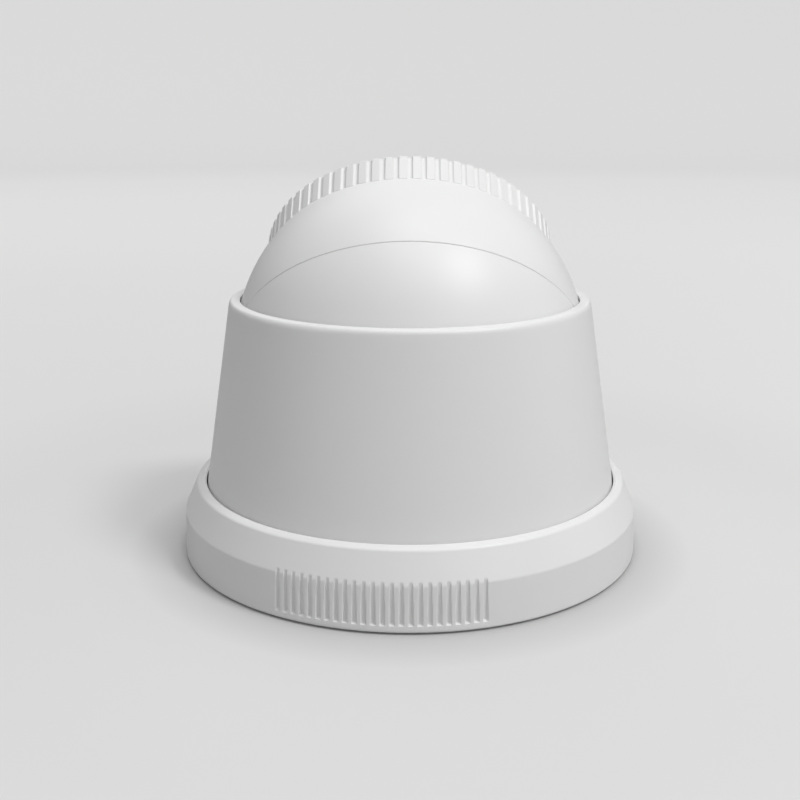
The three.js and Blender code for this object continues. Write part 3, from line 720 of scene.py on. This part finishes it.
# ---- cup ----
def cup_inside(z):
    """Radius of the cup's inner wall: a tapered wall below the ball's widest, and its seat above."""
    if z <= BALL_Z:
        return cup_r(z) - CUP_WALL
    seat = chord(BALL_R + RUN, z - BALL_Z)
    return min(cup_r(z) - CUP_WALL, max(seat, chord(BALL_R, CUP_TOP - BALL_Z) + MOUTH_GAP))


def cup_rim():
    """Stations round the cup's rim from the front: (outer angle, inner angle, height)."""
    centre = DECK_TOP + NOTCH_R
    sweep = [(NOTCH_R * math.sin(t), centre - NOTCH_R * math.cos(t))
             for t in np.linspace(0, math.pi / 2, 61)]
    corner = rounded([
        (NOTCH_R, centre, 0), (NOTCH_R, CUP_TOP, NOTCH_CORNER), (NOTCH_R + 8, CUP_TOP, 0)], 10)[1:-1]
    side = [(NOTCH_R, z) for z in np.linspace(centre, corner[0][1], 8)[1:-1]]
    half = []
    for x, z in [*sweep, *side, *corner]:
        half.append((*[math.degrees(math.asin(min(1, x / r))) for r in (cup_r(z), cup_inside(z))], z))
    outer, inner, _ = half[-1]
    for t in np.linspace(0, 1, 81)[1:]:
        half.append((outer + (180 - outer) * t, inner + (180 - inner) * t, CUP_TOP))
    return half + [(-o, -i, z) for o, i, z in half[1:-1]][::-1]


def on_wall(angle, radius, z):
    """A point of the cup's wall; the angle is from -Y."""
    a = math.radians(angle)
    return np.array((radius * math.sin(a), -radius * math.cos(a), z))


def foot_angles(rim):
    """Where each of the rim's stations stands on the foot, evenly spread below the front cut-out."""
    lengths = [0.0]
    for (o0, _, z0), (o1, _, z1) in zip(rim, rim[1:]):
        lengths.append(lengths[-1] + math.hypot(math.radians(o1 - o0) * 38, z1 - z0))
    corner = next(k for k, station in enumerate(rim) if station[2] >= CUP_TOP - 1e-6)
    count = len(rim)
    angles = []
    for k in range(count):
        place = min(k, count - k)
        angle = rim[place][0]
        if place <= corner:
            angle = rim[corner][0] * lengths[place] / lengths[corner]
        angles.append(angle if k <= count // 2 else -angle)
    return angles


def wall_line(foot, top, low, high, radius_at):
    """Points up the wall from an angle on the foot to an angle on the rim."""
    line = []
    for t in np.linspace(0, 1, CUP_ROWS):
        z = low + (high - low) * t
        line.append(on_wall(foot + (top - foot) * t, radius_at(z), z))
    return line


def clear_of(line, edge, reach):
    """A line's points that are far enough from an edge for its rounding."""
    return [p for p in line if np.linalg.norm(p - edge) > reach * 1.25]


def cup_shell():
    """The cup: one column of points for each station, up the outside, over the lip and down inside."""
    rim = cup_rim()
    foot_out = cup_r(FOOT_TOP) + FOOT_OUT
    foot_in = foot_out - FOOT_ROUND
    foot = ((cup_inside(CUP_LOW + 0.3), CUP_LOW), (foot_in, CUP_LOW), (foot_out, CUP_LOW + FOOT_ROUND),
            (foot_out, FOOT_TOP - FOOT_ROUND), (foot_in, FOOT_TOP))
    columns = []
    for (outer, inner, z), base in zip(rim, foot_angles(rim)):
        wall_out = wall_line(base, outer, FOOT_TOP, z, cup_r)
        wall_in = wall_line(base, inner, CUP_LOW, z, cup_inside)[::-1]
        edge_out, edge_in = wall_out[-1], wall_in[0]
        across = edge_in - edge_out
        thickness = np.linalg.norm(across)
        across = across / thickness
        down_out = wall_out[-3] - edge_out
        down_in = wall_in[3] - edge_in
        round_out = min(LIP_ROUND, 0.45 * thickness)
        round_in = min(LIP_ROUND_IN, 0.3 * thickness)
        lip = bend(edge_out + down_out / np.linalg.norm(down_out) * round_out, edge_out,
                   edge_out + across * round_out, 6)
        lip += bend(edge_in - across * round_in, edge_in,
                    edge_in + down_in / np.linalg.norm(down_in) * round_in, 4)
        keep_out = clear_of(wall_out[:-1], edge_out, round_out)
        keep_in = clear_of(wall_in[1:-1], edge_in, round_in)
        columns.append(filled([
            *[on_wall(base, r, h) for r, h in foot],
            *keep_out, *[None] * (CUP_ROWS - 1 - len(keep_out)), *lip,
            *[None] * (CUP_ROWS - 2 - len(keep_in)), *keep_in]))
    points = np.array(columns)
    return new_piece("cup", points.reshape(-1, 3), strips(*points.shape[:2], True))


def filled(column):
    """Replaces each run of gaps in a column of points by points spread between its two ends."""
    for i, point in enumerate(column):
        if point is None:
            end = next(k for k in range(i, len(column)) if column[k] is not None)
            column[i] = column[i - 1] + (column[end] - column[i - 1]) / (end - i + 1)
    return column


def cup_housing():
    """The cup with the saddle's screw posts, and the seats and slots that the pivot pins drop into."""
    cup = cup_shell()
    top = DECK_TOP + DECK_POST_H
    places = places_of("saddle_screw", 4, points_of)
    posts = []
    for x, y in places:
        posts.append(rod(DECK_POST_R, x, y, DECK_TOP + 0.05, top, edge=0.3))
        posts.append(web(x, y, DECK_WEB, DECK_TOP + 0.1, top - 0.1))
    joined(cup, *posts)
    reach = BALL_R + 1.77
    cut(cup, *[rod(SCREW_HOLE_R, x, y, DECK_TOP - 1, top - 1.5) for x, y in places],
        cross_rod(PIN_SEAT_R, -reach, reach, BALL_Z), bar(2 * reach, 2 * PIN_SEAT_R, BALL_Z - 9, BALL_Z))
    settle(cup, "cup_housing", "cup")


def saddle():
    """The deck under the ball, hollow below, with a slot for the cable."""
    low, high, _, outer = span(points_of("ball_saddle"))
    wall = span(points_of("friction_ring"))[3] + FIT
    floor = DECK_TOP - DECK_T
    deck = turned("deck", rounded([
        (wall - SEAT_WALL, low, 0.2), (outer - 0.2, low, 0.3), (outer, high, 0.35), (wall, high, 0.35),
        (wall, floor, 0.1), (wall - SEAT_WALL, floor, 0.2)], 4))
    near, far = wall + 1.6, outer - 1.8
    pocket = turned("pocket", [(near, low - 1), (far, low - 1), (far, floor), (near, floor)])
    cut(deck, pocket, bar(CABLE_SLOT_W, 80, low - 1, floor))
    places = places_of("saddle_screw", 4, points_of)
    joined(deck, *[rod(DECK_POST_R, x, y, low, floor + 0.5) for x, y in places])
    cut(deck, *[rod(SCREW_HOLE_R, x, y, low - 1, high + 1) for x, y in places])
    settle(deck, "ball_saddle", "deck")


def friction_ring():
    """The ring that the ball rubs on, its bore on the ball's own curve."""
    low, high, _, outer = span(points_of("friction_ring"))
    bore = [(chord(BALL_R + FIT, BALL_Z - z), z, edge)
            for z, edge in ((low, 0.15), ((low + high) / 2, 0), (high, 0.2))]
    settle(turned("seat", rounded([(outer, high, 0.2), (outer, low, 0.2), *bore], 3)), "friction_ring")


# ---- screws ----
def screw(node, measured=lens_points_of):
    """A pan-head screw with a cross recess and a threaded shank."""
    lens = measured is lens_points_of
    points = measured(node)
    low, high = span(points)[:2]
    x, y = middle(points)
    radius = np.hypot(points[:, 0] - x, points[:, 1] - y)
    head_r = radius.max()
    head_up = points[radius > head_r * 0.9][:, 2].mean() > (low + high) / 2
    up, tip, crown = (1, low, high) if head_up else (-1, high, low)
    seat = crown - up * SCREW_HEAD_H
    pitch = up * (abs(seat - tip) - THREAD_END) / THREADS
    outline = [(0, tip), (SCREW_R * 0.55, tip)]
    for k in range(THREADS):
        at = tip + pitch * (k + 0.5)
        wide = SCREW_R * min(1, 0.7 + 0.12 * k)
        outline += [(wide * 0.8, at - pitch * 0.4), (wide, at)]
    outline += [(SCREW_R * 0.8, seat - up * 0.4), (SCREW_R * 0.9, seat), (head_r, seat),
                (head_r, seat + up * HEAD_EDGE)]
    for t in np.linspace(0.3, 1, 6)[:-1] * math.pi / 2:
        dome = HEAD_EDGE + (SCREW_HEAD_H - HEAD_EDGE) * math.sin(t)
        outline.append((head_r * math.cos(t), seat + up * dome))
    outline.append((0, crown))
    piece = turned("screw", outline, 24, lens, centre=(x, y), angle=50)
    near, far = sorted((crown + up, crown - up * RECESS_DEPTH))
    recess = 2 * head_r * RECESS_SHARE
    cut(piece, *[bar(recess, RECESS_W, near, far, x, y, turn, lens) for turn in (20, 110)])
    settle(piece, node)


# ---- ball ----
def shell_cutters():
    """What both shells lose: the ball's two side flats and the bores for the pivot pins."""
    flats = [bar(20, 60, -30, 30, s * (FLAT_X + 10), 0, 0, True) for s in (-1, 1)]
    return [*flats, cross_rod(PIN_BORE_R, -BALL_R - 5, BALL_R + 5, 0, True)]


def front_shell():
    """The half behind the lens ring, with a neck for it and a tongue into the rear half."""
    seam = SEAM_D + SEAM_GAP / 2
    seam_in = chord(SHELL_IN_R, SEAM_D)
    flange = BALL_FACE - NECK_T
    neck_r = HUB_R + FIT
    tongue = chord(SHELL_IN_R, SEAM_D - 3) - FIT
    outer = ball_arc(BALL_R, seam + SEAM_ROUND, BALL_FACE - 0.05, 40)
    inner = ball_arc(SHELL_IN_R, SEAM_D + TONGUE_T, flange, 24)[::-1]
    shell = turned("front", rounded([
        (chord(BALL_R, seam) - 0.1, seam, 0.02), *outer,
        (neck_r, BALL_FACE, 0.25), (neck_r, flange, 0.2), *inner,
        (tongue - TONGUE_T, SEAM_D + TONGUE_T, 0.1), (tongue - TONGUE_T, SEAM_D - TONGUE_H, 0.15),
        (tongue, SEAM_D - TONGUE_H, 0.15), (tongue, SEAM_D + 0.2, 0.1),
        (seam_in, SEAM_D + 0.2, 0.05), (seam_in, seam, 0.05)], 3), lens=True)
    posts = []
    places = places_of("shell_screw", 3)
    for x, y in places:
        posts.append(rod(SHELL_POST_R, x, y, POST_SPLIT, FRONT_POST_TOP, True, edge=0.3))
        reach = chord(SHELL_IN_R, FRONT_POST_TOP) + SHELL_T / 3 - math.hypot(x, y)
        posts.append(web(x, y, reach, SEAM_D + 1, FRONT_POST_TOP - 0.1, True))
    joined(shell, *posts)
    cutters = [rod(SCREW_HOLE_R, x, y, POST_SPLIT - 1, 0, True) for x, y in places]
    cutters += shell_cutters()
    for side in (-1, 1):
        ends = sorted((side * PIN_POCKET_IN, side * (SHELL_IN_R - 0.05)))
        cutters.append(cross_rod(PIN_POCKET_R, *ends, 0, True))
    cut(shell, *cutters)
    settle(shell, "front_shell", "front_half")


def rear_shell():
    """The half with the boards' posts, the wells for its screws and the cable's way out."""
    seam = SEAM_D - SEAM_GAP / 2
    outer = ball_arc(BALL_R, -BALL_R, seam - SEAM_ROUND, 60)
    inner = ball_arc(SHELL_IN_R, -SHELL_IN_R, seam, 40)[::-1]
    shell = turned("rear", rounded([*outer, (chord(BALL_R, seam) - 0.1, seam, 0.02), *inner], 3), lens=True)
    board = span(lens_points_of("main_board"))[0]
    shell_places, board_places = places_of("shell_screw", 3), places_of("board_screw", 3)
    posts = [rod(SHELL_POST_R, x, y, -BALL_R, POST_SPLIT - FIT, True) for x, y in shell_places]
    posts += [rod(BOARD_POST_R, x, y, -BALL_R, board - FIT, True) for x, y in board_places]
    for post in posts:
        dome = turned("dome", ball_arc(BALL_R - 1.0, -BALL_R + 1.0, 0, 24) + [(0, 0, 0)], 96, True)
        combined(post, [dome], "INTERSECT")
    joined(shell, *posts)
    cutters = []
    for x, y in shell_places:
        cutters.append(rod(SCREW_HOLE_R, x, y, -BALL_R, 0, True))
        cutters.append(rod(HEAD_WELL_R, x, y, -BALL_R, POST_SPLIT - 4, True))
    cutters += [rod(SCREW_HOLE_R, x, y, board - 8, 0, True) for x, y in board_places]
    cutters += shell_cutters()
    way_out = GROMMET_R + FIT
    exit_hole = turned("exit", [(0, -BALL_R - 2), (way_out, -BALL_R - 2), (way_out, -BALL_R / 2),
                                (0, -BALL_R / 2)], 48)
    lean(exit_hole)
    cut(shell, *cutters, exit_hole)
    settle(shell, "rear_shell", "rear_half")


def lean(piece):
    """Turns a piece made about Z onto the cable exit's axis."""
    centre = lens_points_of("cable_grommet").mean(axis=0)
    angle = math.atan2(-centre[1], -centre[2])
    c, s = math.cos(angle), math.sin(angle)
    turn = np.array([(1, 0, 0), (0, c, s), (0, -s, c)])
    points = np.array([v.co for v in piece.data.vertices]) / MM
    for vertex, place in zip(piece.data.vertices, to_world(points @ turn.T, True) * MM):
        vertex.co = place


def cable_grommet():
    outside, inside = BALL_R - 0.4, chord(SHELL_IN_R, GROMMET_HEAD_R) - 2 * FIT
    top = GROMMET_HEAD_T - inside
    piece = turned("grommet", rounded([
        (GROMMET_BORE_R, -outside, 0.5), (GROMMET_R, -outside, 0.4), (GROMMET_R, -inside, 0.1),
        (GROMMET_HEAD_R, -inside, 0.3), (GROMMET_HEAD_R, top, 0.4), (GROMMET_BORE_R, top, 0.4)], 4), 64)
    lean(piece)
    settle(piece, "cable_grommet", "grommet")


def sideways(name, outline, side):
    """A piece turned about Z and then laid along +X or -X, at the ball's centre."""
    piece = turned(name, outline, SMALL)
    for vertex in piece.data.vertices:
        x, y, z = vertex.co
        vertex.co = (side * z, y, -side * x + BALL_Z * MM)
    tidy(piece)
    return piece


def pivots():
    """The two pins that the ball tilts on, and their washers."""
    for word, side in (("left", 1), ("right", -1)):
        pin, washer = f"pivot_pin_{word}", f"pivot_washer_{word}"
        along = np.abs(points_of(pin)[:, 0])
        back, tip = along.min(), along.max()
        neck = back + PIN_HEAD_T
        settle(sideways("pin", rounded([
            (0, back, 0), (PIN_HEAD_R, back, 0.3), (PIN_HEAD_R, neck, 0.2), (PIN_R, neck, 0.1),
            (PIN_R, tip, 0.5), (0, tip, 0)], 4), side), pin)
        along = np.abs(points_of(washer)[:, 0])
        near, far = along.min(), along.max()
        settle(sideways("washer", rounded([
            (PIN_BORE_R, near, 0.2), (WASHER_R, near, 0.25), (WASHER_R, far, 0.25),
            (PIN_BORE_R, far, 0.2)], 3), side), washer)


# ---- face ----
def front_ring():
    """The knurled ring, its bezel, and the hub that turns in the ball's neck."""
    low, high, _, outer = span(lens_points_of("front_ring"))
    ring_low = BALL_FACE + 0.03
    ledge = ring_low + 0.18
    bezel = outer - BEZEL_W
    hub_in = HUB_R - HUB_T
    web_top = BALL_FACE + FIT + WEB_T
    clip_low, clip_high = span(lens_points_of("ring_clip"))[:2]
    groove = HUB_R - CLIP_DEPTH
    outline = rounded([
        (outer, ring_low, 0.03), (outer, (ring_low + high) / 2, 0), (outer, high, 0.4),
        (bezel + 0.8, high, 0.3), (bezel, high - 0.7, 0.25), (bezel, web_top, 0.05),
        (hub_in, web_top, 0.1), (hub_in, low, 0.3), (HUB_R, low, 0.4), (HUB_R, clip_low - 0.2, 0),
        (groove, clip_low - 0.2, 0), (groove, clip_high + 0.2, 0), (HUB_R, clip_high + 0.2, 0),
        (HUB_R, ledge, 0.05), (outer - 1.6, ledge, 0.1), (outer - 1.2, ring_low, 0.1)], 5)

    def knurl(angles, line):
        slot = (angles - 90) / (360 / RIBS)
        reach = np.abs(slot - np.round(slot)) / (RIB_GROOVE / 2)
        slope = np.clip((1 - reach) * 1.25, 0, 1)
        depth = RIB_DEPTH * slope * (2 - slope)
        weight = np.clip((line[:, 0] - (outer - 1.0)) / 0.6, 0, 1)[:, None]
        return depth[None, :] * weight

    half = 180 / RIBS
    groove_end = half * (RIB_GROOVE + 1) / 2
    one = np.array([-half, -groove_end, *(np.linspace(-1, 1, 11) * half * RIB_GROOVE), groove_end])
    angles = np.concatenate([90 + k * 2 * half + one for k in range(RIBS)])
    ring = turned("ring", outline, lens=True, angles=angles, shift=knurl, angle=28)
    settle(ring, "front_ring", "lens_ring")


def plain_ring(node, edge=0.15):
    """A flat ring or disc of a node's own size, with rounded edges."""
    low, high, inner, outer = span(lens_points_of(node))
    return turned(node, band(inner if inner > 0.5 else 0, outer, low, high, edge), lens=True)


def lamp(node):
    """An infra-red lamp: a short round body with a domed top."""
    points = lens_points_of(node)
    low, high = span(points)[:2]
    radius = (points[:, 0].max() - points[:, 0].min()) / 2
    dome_h = radius * 0.8
    dome = [(radius * 0.94 * math.cos(t), high - dome_h + dome_h * math.sin(t))
            for t in np.linspace(0, math.pi / 2, 9)[:-1]]
    outline = [(0, low), (radius, low), (radius, low + 0.6), (radius - 0.15, low + 0.75), *dome, (0, high)]
    settle(turned("lamp", outline, 32, True, centre=middle(points)), node)


def face_mask():
    """The dark mask, with a flared hole over each lamp and one for the light sensor."""
    low, high = span(lens_points_of("face_mask"))[:2]
    mask = plain_ring("face_mask", 0.1)
    flare = [(0, low - 1), (LAMP_HOLE_R, low - 1), (LAMP_HOLE_R, low + 0.2), (LAMP_FLARE_R, high + 0.01),
             (LAMP_FLARE_R, high + 1), (0, high + 1)]
    cutters = [turned("flare", flare, 32, True, centre=middle(lens_points_of(node))) for node in LAMPS]
    cutters.append(rod(SCREW_HOLE_R, *middle(lens_points_of("light_sensor")), low - 1, high + 1, True))
    cut(mask, *cutters)
    settle(mask, "face_mask", "mask")


def lens_parts():
    """The barrel with its stepped mouth, and the domed front element in it."""
    low, high, _, outer = span(lens_points_of("lens_barrel"))
    barrel = rounded([
        (BARREL_BORE_R, low, 0.2), (outer, low, 0.3), (outer, high - 1.2, 0.2),
        (outer - 0.6, high - 0.6, 0.1), (outer - 0.6, high, 0.15), (5.2, high, 0.1),
        (5.0, high - 0.5, 0.05), (4.7, high - 0.5, 0.05), (4.5, high - 1.0, 0.05),
        (4.3, high - 1.4, 0.05), (BARREL_BORE_R, high - 1.4, 0.1)], 3)
    settle(turned("barrel", barrel, 96, True), "lens_barrel", "barrel")
    low, high, _, outer = span(lens_points_of("front_element"))
    edge = low + 0.2
    dome = [(outer * math.sin(t), edge + (high - edge) * math.cos(t) ** 2)
            for t in np.linspace(math.pi / 2, 0, 14)[:-1]]
    element = turned("element", [(0, low), (outer, low), *dome, (0, high)], 64, True)
    settle(element, "front_element", "element")


def light_sensor():
    points = lens_points_of("light_sensor")
    low, high = span(points)[:2]
    settle(rod(1.18, *middle(points), low, high, True, 24, 0.4), "light_sensor")


for make in (grip_ring, mounting_plate, glide_ring, cup_housing, saddle, friction_ring, rear_shell,
             front_shell, cable_grommet, pivots, front_ring, face_mask, lens_parts, light_sensor):
    make()
for node in LAMPS:
    lamp(node)
for node in ("ring_clip", "window_gasket", "front_window", "lens_baffle"):
    settle(plain_ring(node), node)
for i in range(1, 5):
    screw(f"saddle_screw_{i}", points_of)
for i in range(1, 4):
    screw(f"shell_screw_{i}")
    screw(f"board_screw_{i}")
for i in range(1, 3):
    screw(f"frame_screw_{i}")
for node in ("main_board", "video_chip", "cable_socket", "led_board", "module_frame", "sensor_board",
             "image_sensor", "lens_holder", "filter_carriage", "infrared_filter", "clear_pane"):
    refinish(node)


# ---- stage, in metres ----
FLOOR_REACH = 2.5                                # distance at the end of both ramps
FLOOR_PAINTED_SHADOW = ((0.047, 0.33), (0.0488, 0.5))      # painted contact shadow: the floor's colour darkened where the base meets it
FLOOR_GLOW_AND_SHADOW = (                                   # keeps the floor even behind the object, and dips round the base as a painted contact shadow
    (0.0, 0.0), (2.5, 0.50), (0.048, 0.0), (0.0492, 0.07), (0.0508, 0.13), (0.054, 0.165), (0.07, 0.185),
    (0.1, 0.184), (0.15, 0.225), (0.28, 0.265), (0.4, 0.30), (0.53, 0.34), (0.7, 0.38), (1.0, 0.44),
    (1.25, 0.475), (1.8, 0.50))
FLOOR_R = 1.6
FLOOR_BEND = 0.5
WALL_H = 0.9
SOFT_LIGHTS = (
    # name, place, width, watts
    ("right_above", (-0.542, 0.369, 0.907), 0.25, 4.6),
    ("overhead", (0.0, 0.0, 1.3), 0.6, 3.6),
    ("front_steep", (-0.1, 0.5, 1.05), 0.4, 1.3),
    ("front_right", (-0.55, 0.85, 0.55), 0.5, 0.75),
    ("right_level", (-1.1, 0.0, 0.1), 0.7, 1.1),
    ("lens_side", (0.3, -0.7, 0.85), 0.6, 0.9),
)
LIGHT_AIM = (0, 0, 0.04)
ROOM_LIGHT = 0.4
CAMERA_PLACE = (0, 0.21755, 0.08755)
CAMERA_PITCH = 14.91                             # degrees down
CAMERA_LENS = 48.8                               # for a sensor 36 wide, both in millimetres
CAMERA_SHIFT = -0.0125


def by_distance(tree, levels, share):
    """A grey ramp of (distance, level) stops, read at a share of the ramp's reach."""
    ramp = add_node(tree, "ShaderNodeValToRGB", (), {"Fac": share})
    for i, (distance, level) in enumerate(levels):
        stop = ramp.color_ramp.elements[i] if i < 2 else ramp.color_ramp.elements.new(1)
        stop.position = distance / FLOOR_REACH
        stop.color = (level, level, level, 1)
    return ramp.outputs["Color"]


def floor_paper():
    """Matt pale paper with a contact shadow painted into its colour round the base, and a glow that only the
    camera sees, which keeps it even and dips round the base as painted shadow.
    """
    material, tree, main = shader("floor_paper", {
        "Roughness": 0.9, "Specular IOR Level": 0.1, "Emission Color": (1, 1, 1, 1)})
    away = add_node(tree, "ShaderNodeVectorMath", (), object_place(tree), operation="LENGTH")
    share = worked(tree, "MULTIPLY", away.outputs["Value"], 1 / FLOOR_REACH)
    seen = add_node(tree, "ShaderNodeLightPath").outputs["Is Camera Ray"]
    # painted contact shadow: the floor's colour darkens close round the base
    tree.links.new(by_distance(tree, FLOOR_PAINTED_SHADOW, share), main.inputs["Base Color"])
    # camera-only glow that evens the floor, with a dip round the base that paints a contact shadow
    glow = worked(tree, "MULTIPLY", by_distance(tree, FLOOR_GLOW_AND_SHADOW, share), seen)
    tree.links.new(glow, main.inputs["Emission Strength"])
    return material


def backdrop():
    """A pale floor that sweeps up into a low wall all round."""
    line = [(FLOOR_R * k / 8, 0) for k in range(9)]
    line += [(FLOOR_R + FLOOR_BEND * math.sin(t), FLOOR_BEND * (1 - math.cos(t)))
             for t in np.linspace(0, math.pi / 2, 13)[1:]]
    line.append((FLOOR_R + FLOOR_BEND, WALL_H))
    steps = 96
    points = []
    for r, z in line:
        for a in np.arange(steps) * 2 * math.pi / steps:
            points.append((r * math.cos(a) / MM, r * math.sin(a) / MM, z / MM))
    floor = new_piece("floor", points, strips(len(line), steps))
    work = bmesh.new()
    work.from_mesh(floor.data)
    if sum(face.normal.z for face in work.faces) < 0:
        bmesh.ops.reverse_faces(work, faces=work.faces)
    work.to_mesh(floor.data)
    work.free()
    floor.data.materials.append(floor_paper())


def soft_light(name, place, size, power):
    """A square soft light that looks at the object."""
    data = bpy.data.lights.new(name, "AREA")
    data.shape = "SQUARE"
    data.size = size
    data.energy = power
    made = bpy.data.objects.new(name, data)
    made.location = place
    made.rotation_euler = (Vector(LIGHT_AIM) - Vector(place)).to_track_quat("-Z", "Y").to_euler()
    scene.collection.objects.link(made)


def lights():
    world = bpy.data.worlds.new("studio")
    world.use_nodes = True
    background = world.node_tree.nodes["Background"]
    background.inputs["Color"].default_value = (1, 1, 1, 1)
    background.inputs["Strength"].default_value = ROOM_LIGHT
    scene.world = world
    for row in SOFT_LIGHTS:
        soft_light(*row)


def camera():
    """A level-standing camera behind the object, pitched down at it."""
    data = bpy.data.cameras.new("camera")
    data.sensor_width = 36
    data.lens = CAMERA_LENS
    data.shift_x = CAMERA_SHIFT
    data.clip_start = 0.01
    made = bpy.data.objects.new("camera", data)
    made.location = CAMERA_PLACE
    made.rotation_euler = (math.radians(90 - CAMERA_PITCH), 0, math.pi)
    scene.collection.objects.link(made)
    scene.camera = made


backdrop()
lights()
camera()
scene.view_settings.view_transform = "Standard"
